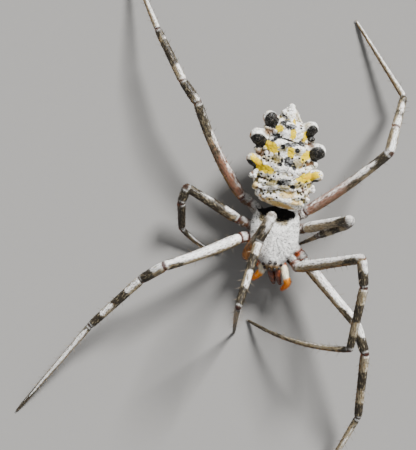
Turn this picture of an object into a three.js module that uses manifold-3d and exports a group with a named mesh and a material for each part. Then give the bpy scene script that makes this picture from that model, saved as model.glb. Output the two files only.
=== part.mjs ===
// Lobed garden spider, an orb weaver of the genus Argiope: an adult female at life size, standing still.
// Millimetres, +Z up. It faces -Y, its left side is +X, and its eight toes stand on z = 0.

import * as THREE from 'three';
import { mergeVertices } from 'three/addons/utils/BufferGeometryUtils.js';
import Module from 'manifold-3d';

const wasm = await Module();
wasm.setup();

// ---------- driving dimensions, millimetres and degrees ----------

const jointGap = 0.15; // left open where two nodes meet
const eyeGap = 0.08; // left open round an eye in its socket

// The front body. Places on it are given as forward and left of its middle, with the height over the floor.
const frontBody = { x: -0.05, y: -1.1, turn: 5, rim: 5.15 };

// Upper shell: half width, and rise over the rim, at each place forward of the middle.
const shellForward = [3.6, 3.0, 2.3, 1.5, 0.5, -0.8, -2.2, -3.3, -4.0];
const shellHalfWidth = [1.18, 1.6, 2.2, 2.8, 3.2, 3.35, 3.36, 3.2, 2.8];
const shellRise = [1.5, 1.75, 1.82, 1.8, 1.8, 1.78, 1.6, 1.2, 0.8];
const shell = { frontReach: 0.5, rearReach: 0.6, under: 0.2, squareness: 1.8 };

// The steep hollow at the back of the shell, under the front of the hind body.
const hollow = { forward: -4.5, height: 7.5, halfLength: 2.35, halfWidth: 3.0, halfHeight: 2.25 };

const core = {
  front: 3.0, rear: -3.3, halfWidth: 1.45, height: 4.5, halfDepth: 0.85, reach: 0.4, squareness: 3.2,
};
const sternum = {
  front: 2.0, rear: -2.5, halfWidth: 1.35, height: 3.2, halfDepth: 0.27, squareness: 2.6, reach: 0.3,
};
const mouth = {
  forward: 2.95, left: 0.5, height: 3.75, halfWidth: 0.6, halfLength: 0.95, halfHeight: 0.6,
  squareness: 2.2, reach: 0.45, lipDrop: 0.2, lipRadius: 0.45,
};
const waist = { forward: [-3.2, -4.4, -5.6], height: [4.85, 5.1, 5.7], radius: 0.55 };

// The hind body. Places on it are given as back from its front end, left of its axis and above the axis.
// It lies a little askew, its left side further forward than its right.
const hindBody = { x: 0.47, y: 3.32, turn: 7.6, skew: 7, roll: 4 };
const hindAxisBack = [1.2, 4.0, 8.0, 11.0, 13.95];
const hindAxisHeight = [7.2, 6.65, 6.6, 7.0, 7.35];
const hindBack = [1.2, 2.7, 4.1, 6.8, 9.5, 11.5, 12.8, 13.95];
const hindHalfWidth = [3.35, 3.8, 4.0, 3.78, 3.15, 2.25, 1.4, 0.55];
const hindTop = [1.7, 2.5, 2.9, 3.0, 2.6, 1.9, 1.15, 0.5];
const hindBottom = [1.85, 2.6, 3.0, 3.3, 2.9, 1.7, 1.0, 0.5];
const hind = { frontReach: 0.95, tailReach: 0.5, squareness: 2.3, sides: 26, steps: 20 };
const ridge = { height: 0.2, spacing: 3.08, place: 5.6, first: 1.6, last: 12.4 };

// Lobes of the hind body, front to rear: place of the tip, reach from the axis, and knob size.
const lobes = [
  { back: 5.65, reach: 5.45, knob: 0.9, rise: 1.3 },
  { back: 8.85, reach: 5.4, knob: 1.22, rise: 1.15 },
  { back: 11.65, reach: 3.95, knob: 1.08, rise: 1.0 },
];
const lobeRoot = { reach: 1.6, sweep: 0.8, width: 1.15, rise: 0.5 };

// Small warts between the lobes.
const warts = [
  { back: 2.2, reach: 3.7, size: 0.58 },
  { back: 3.7, reach: 4.22, size: 0.66 },
  { back: 7.15, reach: 4.15, size: 0.62 },
  { back: 10.2, reach: 3.3, size: 0.62 },
];
const wartRise = 0.9;

const spinnerets = { back: 9.4, drop: 2.55, tilt: 35, length: 0.75, radius: 0.34, spread: 0.42 };

// Mouthparts of the head, as points [x, y, z] with a radius at each.
const cheliceraPath = {
  right: [[-0.55, -4.55, 4.82], [-0.42, -5.5, 4.7], [0.02, -6.85, 3.3]],
  left: [[0.37, -4.65, 4.82], [0.5, -5.6, 4.7], [0.92, -7.0, 3.3]],
};
const cheliceraRadii = [0.44, 0.5, 0.4];
const fangReach = { back: 0.5, inward: 0.25, drop: 0.95 };
const fangRadii = [0.27, 0.24, 0.13];
const palpPath = {
  right: [
    [-1.75, -3.8, 4.05], [-2.0, -4.3, 4.4], [-1.5, -4.85, 4.65], [-2.15, -5.65, 4.4], [-2.85, -6.3, 3.45],
  ],
  left: [
    [1.08, -3.85, 4.05], [1.4, -4.9, 4.7], [1.62, -6.1, 5.1], [1.88, -6.95, 4.6], [1.2, -7.8, 3.5],
  ],
};
const palpFemurRadii = [0.38, 0.48, 0.48];
const palpTipRadii = [0.48, 0.48, 0.28];

// Eyes: forward and left of the middle, height over the floor, radius.
const eyes = {
  posterior_median: [3.0, 0.38, 6.88, 0.25],
  anterior_median: [3.84, 0.35, 6.3, 0.26],
  posterior_lateral: [3.2, 1.22, 5.96, 0.24],
  anterior_lateral: [3.72, 0.97, 5.82, 0.23],
};

// Lengths of the femur, the patella, the tibia, and the metatarsus with the tarsus.
const legLengths = {
  1: [12.1, 3.9, 9.0, 17.3],
  2: [11.6, 4.3, 10.0, 17.0],
  3: [8.4, 2.3, 4.8, 6.6],
  4: [14.3, 3.7, 8.2, 13.0],
};
const legStoutness = { 1: 1.0, 2: 1.06, 3: 0.95, 4: 1.0 };

// Each leg: where the coxa starts and ends, the hip (x, y, z), then for the femur, patella, tibia and
// metatarsus the compass turn in plan, and the height that the first three end at.
// bow bends the femur, tibia and metatarsus sideways, sag lowers their middles.
const coxaHeight = 4.2;
const legPoses = {
  right_1: {
    pair: 1, coxa: [[-1.08, -1.81], [-2.7, -2.6]], hip: [-3.85, -3.2, 4.9],
    turn: [61.2, -117, -107.9, -92.5], height: [15.25, 14.5, 16.75], bow: [0, 0, 0], sag: [0, 0, 0.3],
  },
  right_2: {
    pair: 2, coxa: [[-1.5, -0.84], [-3.25, -0.6]], hip: [-4.75, -0.7, 4.7],
    turn: [-160, -150, -138, -131], height: [8.9, 6.9, 4.3], bow: [0.2, 0, 0], sag: [-0.3, 0, 0],
  },
  right_3: {
    pair: 3, coxa: [[-1.5, 0.4], [-3.4, 1.2]], hip: [-4.95, 1.9, 4.8],
    turn: [148.4, -111, -90, -36], height: [6.2, 5.4, 2.2], bow: [0, 0, -0.4], sag: [0, 0, 0],
  },
  right_4: {
    pair: 4, coxa: [[-1.08, 1.65], [-3.0, 3.95]], hip: [-4.45, 5.0, 4.8],
    turn: [115.5, 124, 115.5, 112], height: [7.6, 7.2, 5.5], bow: [0.5, 0, 0], sag: [0, 0, 0],
  },
  left_1: {
    pair: 1, coxa: [[1.0, -1.95], [2.75, -3.95]], hip: [3.2, -4.75, 5.6],
    turn: [11, -84, -100.2, 167.2], height: [14.9, 13.9, 11.05], bow: [0, 0, 1.0], sag: [0, 0, 0],
  },
  left_2: {
    pair: 2, coxa: [[1.55, -0.84], [3.2, -2.5]], hip: [4.05, -3.7, 4.2],
    turn: [-51.2, -73, -93, -118], height: [8.3, 8.1, 4.3], bow: [0, 0, 0], sag: [0.7, 0, 0],
  },
  left_3: {
    pair: 3, coxa: [[1.69, 0.4], [3.3, 0.5]], hip: [4.3, 0.65, 4.9],
    turn: [12, -90, -158, -150], height: [11.2, 9.0, 6.2], bow: [0, 0, 0], sag: [0, 0, 0],
  },
  left_4: {
    pair: 4, coxa: [[1.27, 1.65], [3.3, 2.35]], hip: [4.4, 2.95, 4.8],
    turn: [36, 74, 66, 119.5], height: [10.3, 9.4, 3.1], bow: [-0.3, 0, 0], sag: [0, 0, 0],
  },
};
const coxaRadii = [0.84, 0.84, 0.78];
const femurRadii = [0.78, 0.84, 0.72, 0.64, 0.7];
const tibiaRadii = [0.7, 0.68, 0.58, 0.62, 0.54, 0.5];
const metatarsusRadii = [0.47, 0.4, 0.34, 0.29, 0.25];
const toe = { radius: 0.25, height: 0.12 }; // the toe is cut flat at the floor

// Blocks that cut joint faces and the floor's flats.
const parting = { width: 6, depth: 2 };
const floorBlock = { width: 150, depth: 3 };

// ---------- materials ----------

const silver = { color: 0xd9d6cd, roughness: 0.8, metalness: 0 };
const cream = { color: 0xe9e2c4, roughness: 0.7, metalness: 0 };
const tan = { color: 0xb0885c, roughness: 0.6, metalness: 0 };
const banded = { color: 0x8d7b68, roughness: 0.65, metalness: 0 };
const dark = { color: 0x2c2018, roughness: 0.5, metalness: 0 };
const orange = { color: 0xf0a01e, roughness: 0.5, metalness: 0 };
const redBrown = { color: 0x6a2c16, roughness: 0.35, metalness: 0 };
const eyeBlack = { color: 0x080706, roughness: 0.1, metalness: 0 };

// ---------- solids ----------

function toSolid(geometry) {
  const bare = geometry.clone();
  bare.deleteAttribute('normal');
  bare.deleteAttribute('uv');
  const merged = mergeVertices(bare);
  return new wasm.Manifold(new wasm.Mesh({
    numProp: 3,
    vertProperties: Float32Array.from(merged.attributes.position.array),
    triVerts: Uint32Array.from(merged.index.array),
  }));
}

// The largest closed surface of a solid, which drops the loose scraps of a cut.
function largest(solid) {
  return solid.decompose().reduce((best, piece) => (piece.volume() > best.volume() ? piece : best));
}

function joined(solids) {
  return solids.reduce((sum, solid) => sum.add(solid));
}

function without(solid, cutters) {
  return largest(cutters.reduce((rest, cutter) => rest.subtract(cutter), solid));
}

function addNode(group, name, solid, look) {
  const { vertProperties, triVerts } = solid.getMesh();
  const geometry = new THREE.BufferGeometry();
  geometry.setAttribute('position', new THREE.BufferAttribute(Float32Array.from(vertProperties), 3));
  geometry.setIndex(new THREE.BufferAttribute(Uint32Array.from(triVerts), 1));
  geometry.computeVertexNormals();
  const mesh = new THREE.Mesh(geometry, new THREE.MeshStandardMaterial(look));
  mesh.name = name;
  group.add(mesh);
}

// A block that starts at a point and reaches away along a direction, to cut a joint face with.
function block(point, direction, width, depth) {
  const geometry = new THREE.BoxGeometry(width, width, depth);
  geometry.translate(0, 0, depth / 2);
  const away = direction.clone().normalize();
  geometry.applyQuaternion(new THREE.Quaternion().setFromUnitVectors(new THREE.Vector3(0, 0, 1), away));
  geometry.translate(point.x, point.y, point.z);
  return toSolid(geometry);
}

function ball(centre, radius, sides = 8) {
  const geometry = new THREE.SphereGeometry(radius, sides, Math.round(sides * 0.6));
  geometry.translate(centre.x, centre.y, centre.z);
  return toSolid(geometry);
}

// A closed skin round a path, with rounded ends. section(along, turn) gives a point of the ring as its
// offsets [side, up, ahead] from the path; up follows the hint, and ahead may be left out.
function loft(path, section, { sides, steps, capSteps = 2, hint, startReach, endReach }) {
  const rows = steps + 2 * capSteps;
  const geometry = new THREE.SphereGeometry(1, sides, rows);
  const position = geometry.attributes.position;
  const uv = geometry.attributes.uv;
  for (let i = 0; i < position.count; i++) {
    const row = Math.round((1 - uv.getY(i)) * rows);
    const turn = (Math.round(uv.getX(i) * sides) % sides) / sides * 2 * Math.PI;
    const along = THREE.MathUtils.clamp(row - capSteps, 0, steps) / steps;
    const beforeStart = Math.max(0, capSteps - row) / capSteps * Math.PI / 2;
    const pastEnd = Math.max(0, row - capSteps - steps) / capSteps * Math.PI / 2;
    const reach = Math.sin(pastEnd) * endReach - Math.sin(beforeStart) * startReach;
    const onAxis = row === 0 || row === rows;
    const shrink = onAxis ? 0 : Math.cos(beforeStart) * Math.cos(pastEnd);
    const heading = path.getTangentAt(along);
    const side = new THREE.Vector3().crossVectors(heading, hint).normalize();
    const up = new THREE.Vector3().crossVectors(side, heading);
    const ring = section(along, turn);
    const point = path.getPointAt(along)
      .addScaledVector(heading, reach + (ring[2] ?? 0) * shrink)
      .addScaledVector(side, ring[0] * shrink)
      .addScaledVector(up, ring[1] * shrink);
    position.setXYZ(i, point.x, point.y, point.z);
  }
  return toSolid(geometry);
}

// A rounded limb through points, with radii spread evenly along it.
function limb(points, radii, { sides = 10, steps = 6, extra = 0 } = {}) {
  const path = new THREE.CatmullRomCurve3(points, false, 'centripetal');
  const chord = points[points.length - 1].clone().sub(points[0]).normalize();
  const steep = Math.abs(chord.z) > 0.8;
  const hint = steep ? new THREE.Vector3(1, 0.3, 0).normalize() : new THREE.Vector3(0, 0, 1);
  const section = (along, turn) => {
    const place = along * (radii.length - 1);
    const before = Math.min(Math.floor(place), radii.length - 2);
    const radius = THREE.MathUtils.lerp(radii[before], radii[before + 1], place - before) + extra;
    return [Math.cos(turn) * radius, Math.sin(turn) * radius];
  };
  const startReach = radii[0] + extra;
  const endReach = radii[radii.length - 1] + extra;
  return loft(path, section, { sides, steps, hint, startReach, endReach });
}

// A smooth curve of values over places that rise or fall from one to the next.
function curveOf(places, values) {
  const rising = places[0] < places[places.length - 1];
  const x = rising ? places : [...places].reverse();
  const y = rising ? values : [...values].reverse();
  const interpolant = new THREE.CubicInterpolant(Float32Array.from(x), Float32Array.from(y), 1);
  return (place) => interpolant.evaluate(place)[0];
}

// A point of a squared ellipse with its own depth above and below.
function squaredEllipse(turn, halfWidth, top, bottom, squareness) {
  const power = 2 / squareness;
  const c = Math.cos(turn);
  const s = Math.sin(turn);
  const across = Math.sign(c) * Math.abs(c) ** power * halfWidth;
  return [across, Math.sign(s) * Math.abs(s) ** power * (s > 0 ? top : bottom)];
}

function vector(point) {
  return new THREE.Vector3(...point);
}

// ---------- front body ----------

const frontTurn = THREE.MathUtils.degToRad(frontBody.turn);
const forwardWay = new THREE.Vector3(-Math.sin(frontTurn), -Math.cos(frontTurn), 0);
const leftWay = new THREE.Vector3(Math.cos(frontTurn), -Math.sin(frontTurn), 0);
const upWay = new THREE.Vector3(0, 0, 1);

function onFront(forward, left, height) {
  return new THREE.Vector3(frontBody.x, frontBody.y, height)
    .addScaledVector(forwardWay, forward)
    .addScaledVector(leftWay, left);
}

// The domed upper shell, head and thorax in one piece.
function shellSolid(extra = 0) {
  const first = shellForward[0];
  const last = shellForward[shellForward.length - 1];
  const halfWidth = curveOf(shellForward, shellHalfWidth);
  const rise = curveOf(shellForward, shellRise);
  const section = (along, turn) => {
    const forward = THREE.MathUtils.lerp(first, last, along);
    const top = rise(forward) + extra;
    return squaredEllipse(turn, halfWidth(forward) + extra, top, shell.under + extra, shell.squareness);
  };
  const path = new THREE.LineCurve3(onFront(first, 0, frontBody.rim), onFront(last, 0, frontBody.rim));
  return loft(path, section, {
    sides: 26, steps: 13, capSteps: 3, hint: upWay,
    startReach: shell.frontReach + extra, endReach: shell.rearReach + extra,
  });
}

function hollowSolid() {
  const geometry = new THREE.SphereGeometry(1, 20, 14);
  geometry.scale(hollow.halfWidth, hollow.halfLength, hollow.halfHeight);
  geometry.rotateZ(-frontTurn);
  geometry.translate(...onFront(hollow.forward, 0.1, hollow.height).toArray());
  return toSolid(geometry);
}

// The fleshy core under the shell, which the coxae grow from.
function coreSolid(extra = 0) {
  const path = new THREE.LineCurve3(onFront(core.front, 0, core.height), onFront(core.rear, 0, core.height));
  const section = (along, turn) => {
    const bulge = Math.sin(THREE.MathUtils.lerp(0.25, 0.8, along) * Math.PI);
    const depth = core.halfDepth + extra;
    return squaredEllipse(turn, core.halfWidth * bulge + extra, depth, depth, core.squareness);
  };
  const reach = core.reach + extra;
  return loft(path, section, { sides: 16, steps: 6, hint: upWay, startReach: reach, endReach: reach });
}

// The heart-shaped breast plate, broad in front and pointed behind.
function sternumSolid(extra = 0) {
  const first = onFront(sternum.front, 0, sternum.height);
  const last = onFront(sternum.rear, 0, sternum.height);
  const section = (along, turn) => {
    const halfWidth = sternum.halfWidth * (1 - 0.75 * along ** 2) + extra;
    const depth = sternum.halfDepth + extra;
    return squaredEllipse(turn, halfWidth, depth, depth, sternum.squareness);
  };
  const reach = sternum.reach + extra;
  const options = { sides: 12, steps: 6, hint: upWay, startReach: reach, endReach: reach };
  return loft(new THREE.LineCurve3(first, last), section, options);
}

// Two broad jaws under the mouth with the lip between them.
function maxillaeSolid(extra = 0) {
  const halfWidth = mouth.halfWidth + extra;
  const halfHeight = mouth.halfHeight + extra;
  const section = (along, turn) => squaredEllipse(turn, halfWidth, halfHeight, halfHeight, mouth.squareness);
  const reach = mouth.reach + extra;
  const options = { sides: 10, steps: 3, hint: upWay, startReach: reach, endReach: reach };
  const pieces = [-1, 1].map((side) => {
    const front = onFront(mouth.forward + mouth.halfLength / 2, side * mouth.left * 0.9, mouth.height);
    const rear = onFront(mouth.forward - mouth.halfLength / 2, side * mouth.left, mouth.height);
    return loft(new THREE.LineCurve3(front, rear), section, options);
  });
  const lip = onFront(mouth.forward - mouth.halfLength * 0.6, 0, mouth.height - mouth.lipDrop);
  return joined([...pieces, ball(lip, mouth.lipRadius + extra)]);
}

function waistSolid(extra = 0) {
  const points = waist.forward.map((forward, i) => onFront(forward, -forward * 0.02, waist.height[i]));
  const radii = [waist.radius, waist.radius * 0.8, waist.radius];
  return limb(points, radii, { sides: 10, steps: 3, extra });
}

// ---------- hind body ----------

const hindTurn = THREE.MathUtils.degToRad(hindBody.turn);
const hindRoll = THREE.MathUtils.degToRad(hindBody.roll);
const backWay = new THREE.Vector3(Math.sin(hindTurn), Math.cos(hindTurn), 0);
const levelWay = new THREE.Vector3(Math.cos(hindTurn), -Math.sin(hindTurn), 0);
const hindLeft = levelWay.clone().applyAxisAngle(backWay, hindRoll);
const hindUp = upWay.clone().applyAxisAngle(backWay, hindRoll);
const hindSkew = Math.tan(THREE.MathUtils.degToRad(hindBody.skew));
const axisHeight = curveOf(hindAxisBack, hindAxisHeight);

function onHind(back, left, above) {
  return new THREE.Vector3(hindBody.x, hindBody.y, axisHeight(back))
    .addScaledVector(backWay, back - hindSkew * left)
    .addScaledVector(hindLeft, left)
    .addScaledVector(hindUp, above);
}

// The hind body without its lobes: blunt in front, ridged across above, drawn out to a cone behind.
function hindSolid(extra = 0) {
  const first = hindBack[0];
  const last = hindBack[hindBack.length - 1];
  const halfWidth = curveOf(hindBack, hindHalfWidth);
  const top = curveOf(hindBack, hindTop);
  const bottom = curveOf(hindBack, hindBottom);
  const section = (along, turn) => {
    const back = THREE.MathUtils.lerp(first, last, along);
    const depths = [halfWidth(back), top(back), bottom(back)].map((depth) => depth + extra);
    const ring = squaredEllipse(turn, ...depths, hind.squareness);
    const inside = THREE.MathUtils.smoothstep(back, ridge.first - 1, ridge.first + 1)
      * (1 - THREE.MathUtils.smoothstep(back, ridge.last - 1, ridge.last));
    const wave = Math.cos((back - ridge.place) / ridge.spacing * 2 * Math.PI);
    ring[1] += Math.max(0, Math.sin(turn)) * inside * wave * ridge.height;
    ring[2] = -hindSkew * ring[0];
    return ring;
  };
  const path = new THREE.CatmullRomCurve3(hindAxisBack.map((back) => onHind(back, 0, 0)));
  return loft(path, section, {
    sides: hind.sides, steps: hind.steps, capSteps: 3, hint: hindUp,
    startReach: hind.frontReach + extra, endReach: hind.tailReach + extra,
  });
}

function lobeSolid(lobe, side) {
  const knobReach = lobe.reach - lobe.knob;
  const points = [
    onHind(lobe.back - lobeRoot.sweep, side * lobeRoot.reach, lobeRoot.rise),
    onHind(lobe.back - lobeRoot.sweep / 2, side * (lobeRoot.reach + knobReach) / 2, lobeRoot.rise),
    onHind(lobe.back, side * knobReach, lobe.rise),
  ];
  const radii = [lobeRoot.width, lobe.knob * 1.05, lobe.knob * 0.95, lobe.knob];
  return limb(points, radii, { sides: 10, steps: 3 });
}

// The cluster of silk spigots under the hind body.
function spinneretsSolid() {
  const tilt = THREE.MathUtils.degToRad(spinnerets.tilt);
  const way = backWay.clone().multiplyScalar(Math.sin(tilt)).addScaledVector(upWay, -Math.cos(tilt));
  const base = onHind(spinnerets.back, 0, -spinnerets.drop);
  const cones = [[-1, -1], [1, -1], [-1, 1], [1, 1]].map(([side, row]) => {
    const root = base.clone()
      .addScaledVector(hindLeft, side * spinnerets.spread)
      .addScaledVector(backWay, row * spinnerets.spread);
    const end = root.clone().addScaledVector(way, spinnerets.length).addScaledVector(hindLeft, -side * 0.12);
    return limb([root, end], [spinnerets.radius * 1.15, spinnerets.radius * 0.8], { sides: 8, steps: 2 });
  });
  const stump = limb([base.clone().addScaledVector(way, -0.3), base.clone().addScaledVector(way, 0.3)],
    [0.8, 0.72], { sides: 12, steps: 2 });
  return joined([stump, ...cones]);
}

function abdomenSolid() {
  const pieces = [hindSolid()];
  for (const side of [-1, 1]) {
    for (const lobe of lobes) {
      pieces.push(lobeSolid(lobe, side));
    }
    for (const wart of warts) {
      pieces.push(ball(onHind(wart.back, side * (wart.reach - wart.size * 0.45), wartRise), wart.size));
    }
  }
  return joined(pieces);
}

// ---------- legs ----------

// The joints of a leg from the hip to the toe. Each length runs at its turn in plan, and its slope
// follows from the heights of its two ends.
function legJoints(pose) {
  const lengths = legLengths[pose.pair];
  const heights = [...pose.height, toe.height];
  const joints = [vector(pose.hip)];
  lengths.forEach((length, i) => {
    const start = joints[i];
    const drop = heights[i] - start.z;
    const run = Math.sqrt(length ** 2 - drop ** 2);
    const turn = THREE.MathUtils.degToRad(pose.turn[i]);
    joints.push(start.clone().add(vector([run * Math.cos(turn), run * Math.sin(turn), drop])));
  });
  return joints;
}

// The middle of a length, bowed to its left in plan and let down by its sag.
function middle(start, end, bow, sag) {
  const run = end.clone().sub(start);
  const left = new THREE.Vector3(-run.y, run.x, 0).normalize();
  return start.clone().addScaledVector(run, 0.5).addScaledVector(left, bow).addScaledVector(upWay, -sag);
}

// The paths of a leg's four nodes, hip to toe, with the radii along each.
function legPaths(pose) {
  const [hip, knee, patellaEnd, ankle, tip] = legJoints(pose);
  const stout = legStoutness[pose.pair];
  const [coxaStart, coxaEnd] = pose.coxa.map(([x, y]) => new THREE.Vector3(x, y, coxaHeight));
  const scaled = (radii) => radii.map((radius) => radius * stout);
  const metatarsus = metatarsusRadii.map((radius) => Math.max(radius * stout, toe.radius));
  return {
    coxa: { points: [coxaStart, coxaEnd, hip], radii: scaled(coxaRadii), steps: 4, sides: 9 },
    femur: {
      points: [hip, middle(hip, knee, pose.bow[0], pose.sag[0]), knee], radii: scaled(femurRadii), steps: 5,
    },
    tibia: {
      points: [knee, patellaEnd, middle(patellaEnd, ankle, pose.bow[1], pose.sag[1]), ankle],
      radii: scaled(tibiaRadii), steps: 7,
    },
    metatarsus: {
      points: [ankle, middle(ankle, tip, pose.bow[2], pose.sag[2]), tip],
      radii: metatarsus, steps: 5, sides: 8,
    },
  };
}

// Cuts the far side of a joint off both lengths that meet there, on the plane that halves the bend.
function mitre(before, after, radius) {
  const joint = after.points[0];
  const arriving = joint.clone().sub(before.points[before.points.length - 2]).normalize();
  const leaving = after.points[1].clone().sub(joint).normalize();
  const way = arriving.add(leaving).normalize();
  const onFace = (offset) => joint.clone().addScaledVector(way, offset);
  const width = 5 * radius;
  const depth = 2.2 * radius;
  return {
    endCutter: block(onFace(-jointGap / 2), way, width, depth),
    startCutter: block(onFace(jointGap / 2), way.clone().negate(), width, depth),
  };
}

// Cuts a coxa back to the plane midway between it and its neighbour.
function neighbourCutter(own, other) {
  const start = own.points[0].clone().lerp(other.points[0], 0.5);
  const end = own.points[1].clone().lerp(other.points[1], 0.5);
  const run = end.clone().sub(start).normalize();
  const away = other.points[1].clone().sub(own.points[1]);
  away.addScaledVector(run, -away.dot(run)).setZ(0).normalize();
  const point = start.clone().lerp(end, 0.5).addScaledVector(away, -jointGap / 2);
  return block(point, away, parting.width, parting.depth);
}

function legSolid(length, extra = 0) {
  return limb(length.points, length.radii, { sides: length.sides ?? 10, steps: length.steps, extra });
}

// ---------- the spider ----------

const spider = new THREE.Group();

const palpLengths = {};
for (const side of ['right', 'left']) {
  const points = palpPath[side].map(vector);
  palpLengths[side] = {
    femur: { points: points.slice(0, 3), radii: palpFemurRadii, steps: 4 },
    tip: { points: points.slice(2), radii: palpTipRadii, steps: 6 },
  };
}
const chelicerae = {};
for (const side of ['right', 'left']) {
  const points = cheliceraPath[side].map(vector);
  const inward = side === 'right' ? 1 : -1;
  const tip = points[2].clone()
    .addScaledVector(forwardWay, -fangReach.back)
    .addScaledVector(leftWay, inward * fangReach.inward);
  tip.z -= fangReach.drop;
  const bend = points[2].clone().lerp(tip, 0.5).addScaledVector(forwardWay, 0.2);
  chelicerae[side] = {
    basal: { points, radii: cheliceraRadii, steps: 5 },
    fang: { points: [points[2], bend, tip], radii: fangRadii, steps: 4, sides: 8 },
  };
}
const legs = {};
for (const [name, pose] of Object.entries(legPoses)) {
  legs[name] = legPaths(pose);
}

// Head and thorax, with a socket for each eye and room for the chelicerae.
const sides = { right: -1, left: 1 };
const head = new THREE.Group();
const sockets = [];
for (const [name, [forward, left, height, radius]] of Object.entries(eyes)) {
  for (const [side, sign] of Object.entries(sides)) {
    const centre = onFront(forward, sign * left, height);
    sockets.push(ball(centre, radius + eyeGap));
    addNode(head, `eye_${name}_${side}`, ball(centre, radius), eyeBlack);
  }
}
const clearOfJaws = Object.values(chelicerae).map(({ basal }) => legSolid(basal, jointGap));
const shellCutters = [hollowSolid(), ...sockets, ...clearOfJaws, waistSolid(jointGap)];
addNode(head, 'carapace', without(joined([shellSolid(), coreSolid()]), shellCutters), silver);
addNode(head, 'sternum', sternumSolid(), dark);
const maxillae = without(maxillaeSolid(), [sternumSolid(jointGap), coreSolid(jointGap), ...clearOfJaws]);
addNode(head, 'maxillae', maxillae, tan);

// Chelicerae with their fangs, cut apart where they touch.
for (const [side, { basal, fang }] of Object.entries(chelicerae)) {
  const other = chelicerae[side === 'right' ? 'left' : 'right'].basal;
  const { endCutter, startCutter } = mitre(basal, fang, 0.6);
  const apart = neighbourCutter(basal, other);
  addNode(head, `chelicera_${side}`, without(legSolid(basal), [endCutter, apart]), redBrown);
  addNode(head, `fang_${side}`, without(legSolid(fang), [startCutter]), dark);
}

for (const [side, { femur, tip }] of Object.entries(palpLengths)) {
  const { endCutter, startCutter } = mitre(femur, tip, 0.5);
  const clear = [coreSolid(jointGap), shellSolid(jointGap), maxillaeSolid(jointGap), ...clearOfJaws];
  addNode(head, `palp_${side}_femur`, without(legSolid(femur), [endCutter, ...clear]), cream);
  addNode(head, `palp_${side}_tip`, without(legSolid(tip), [startCutter, ...clearOfJaws]), orange);
}
spider.add(head);

const hindGroup = new THREE.Group();
const abdomen = abdomenSolid();
const spigots = spinneretsSolid();
addNode(hindGroup, 'pedicel', waistSolid(), dark);
addNode(hindGroup, 'abdomen', without(abdomen, [waistSolid(jointGap)]), cream);
addNode(hindGroup, 'spinnerets', without(spigots, [hindSolid(jointGap)]), dark);
spider.add(hindGroup);

const floorWay = new THREE.Vector3(0, 0, -1);
const floorCutter = block(new THREE.Vector3(), floorWay, floorBlock.width, floorBlock.depth);
const clearOfBody = [coreSolid(jointGap), sternumSolid(jointGap), shellSolid(jointGap)];
for (const side of ['right', 'left']) {
  for (const pair of [1, 2, 3, 4]) {
    const { coxa, femur, tibia, metatarsus } = legs[`${side}_${pair}`];
    const neighbours = [pair - 1, pair + 1].filter((other) => other >= 1 && other <= 4);
    const apart = neighbours.map((other) => neighbourCutter(coxa, legs[`${side}_${other}`].coxa));
    const hip = mitre(coxa, femur, femur.radii[0]);
    const knee = mitre(femur, tibia, tibia.radii[0]);
    const ankle = mitre(tibia, metatarsus, 0.6);
    const clear = neighbours.map((other) => legSolid(legs[`${side}_${other}`].femur, jointGap));
    if (pair === 1) {
      clear.push(legSolid(palpLengths[side].femur, jointGap), maxillaeSolid(jointGap));
    }
    const leg = new THREE.Group();
    const name = `leg_${side}_${pair}`;
    const coxaCutters = [...clearOfBody, ...apart, ...clear, hip.endCutter];
    addNode(leg, `${name}_coxa`, without(legSolid(coxa), coxaCutters), tan);
    const femurCutters = [shellSolid(jointGap), hip.startCutter, knee.endCutter];
    addNode(leg, `${name}_femur`, without(legSolid(femur), femurCutters), silver);
    addNode(leg, `${name}_tibia`, without(legSolid(tibia), [knee.startCutter, ankle.endCutter]), banded);
    const footCutters = [ankle.startCutter, floorCutter];
    addNode(leg, `${name}_metatarsus`, without(legSolid(metatarsus), footCutters), banded);
    spider.add(leg);
  }
}

// The origin is the middle of the bounding box, on the floor.
const box = new THREE.Box3().setFromObject(spider);
spider.position.set(-(box.min.x + box.max.x) / 2, -(box.min.y + box.max.y) / 2, 0);
spider.updateMatrixWorld(true);

export default spider;
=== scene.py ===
# A lobed garden orb weaver spider: skin, coat, spines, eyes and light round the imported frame.
# Shapes are worked in millimetres, where small voxels are allowed, and brought to metres when finished.

import math

import bmesh
import bpy
import numpy as np
from mathutils import Matrix, Vector, noise


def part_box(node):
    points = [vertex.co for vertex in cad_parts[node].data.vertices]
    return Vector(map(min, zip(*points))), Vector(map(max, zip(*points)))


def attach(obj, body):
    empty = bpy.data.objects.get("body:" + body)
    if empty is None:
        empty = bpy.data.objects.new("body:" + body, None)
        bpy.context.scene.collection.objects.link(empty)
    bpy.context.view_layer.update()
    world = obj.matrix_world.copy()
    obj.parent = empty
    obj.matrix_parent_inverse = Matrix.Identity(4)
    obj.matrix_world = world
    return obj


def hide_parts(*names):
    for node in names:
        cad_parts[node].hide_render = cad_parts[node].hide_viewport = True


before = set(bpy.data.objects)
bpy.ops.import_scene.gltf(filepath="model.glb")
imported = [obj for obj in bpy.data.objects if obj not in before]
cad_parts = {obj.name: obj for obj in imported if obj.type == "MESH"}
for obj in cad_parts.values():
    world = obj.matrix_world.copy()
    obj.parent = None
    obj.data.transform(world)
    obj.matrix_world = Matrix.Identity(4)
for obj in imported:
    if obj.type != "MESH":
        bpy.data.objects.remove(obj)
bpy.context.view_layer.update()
toMetres = Matrix.Scale(0.001, 4)
toMillimetres = Matrix.Scale(1000, 4)
upright = Vector((0, 0, 1))

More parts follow.
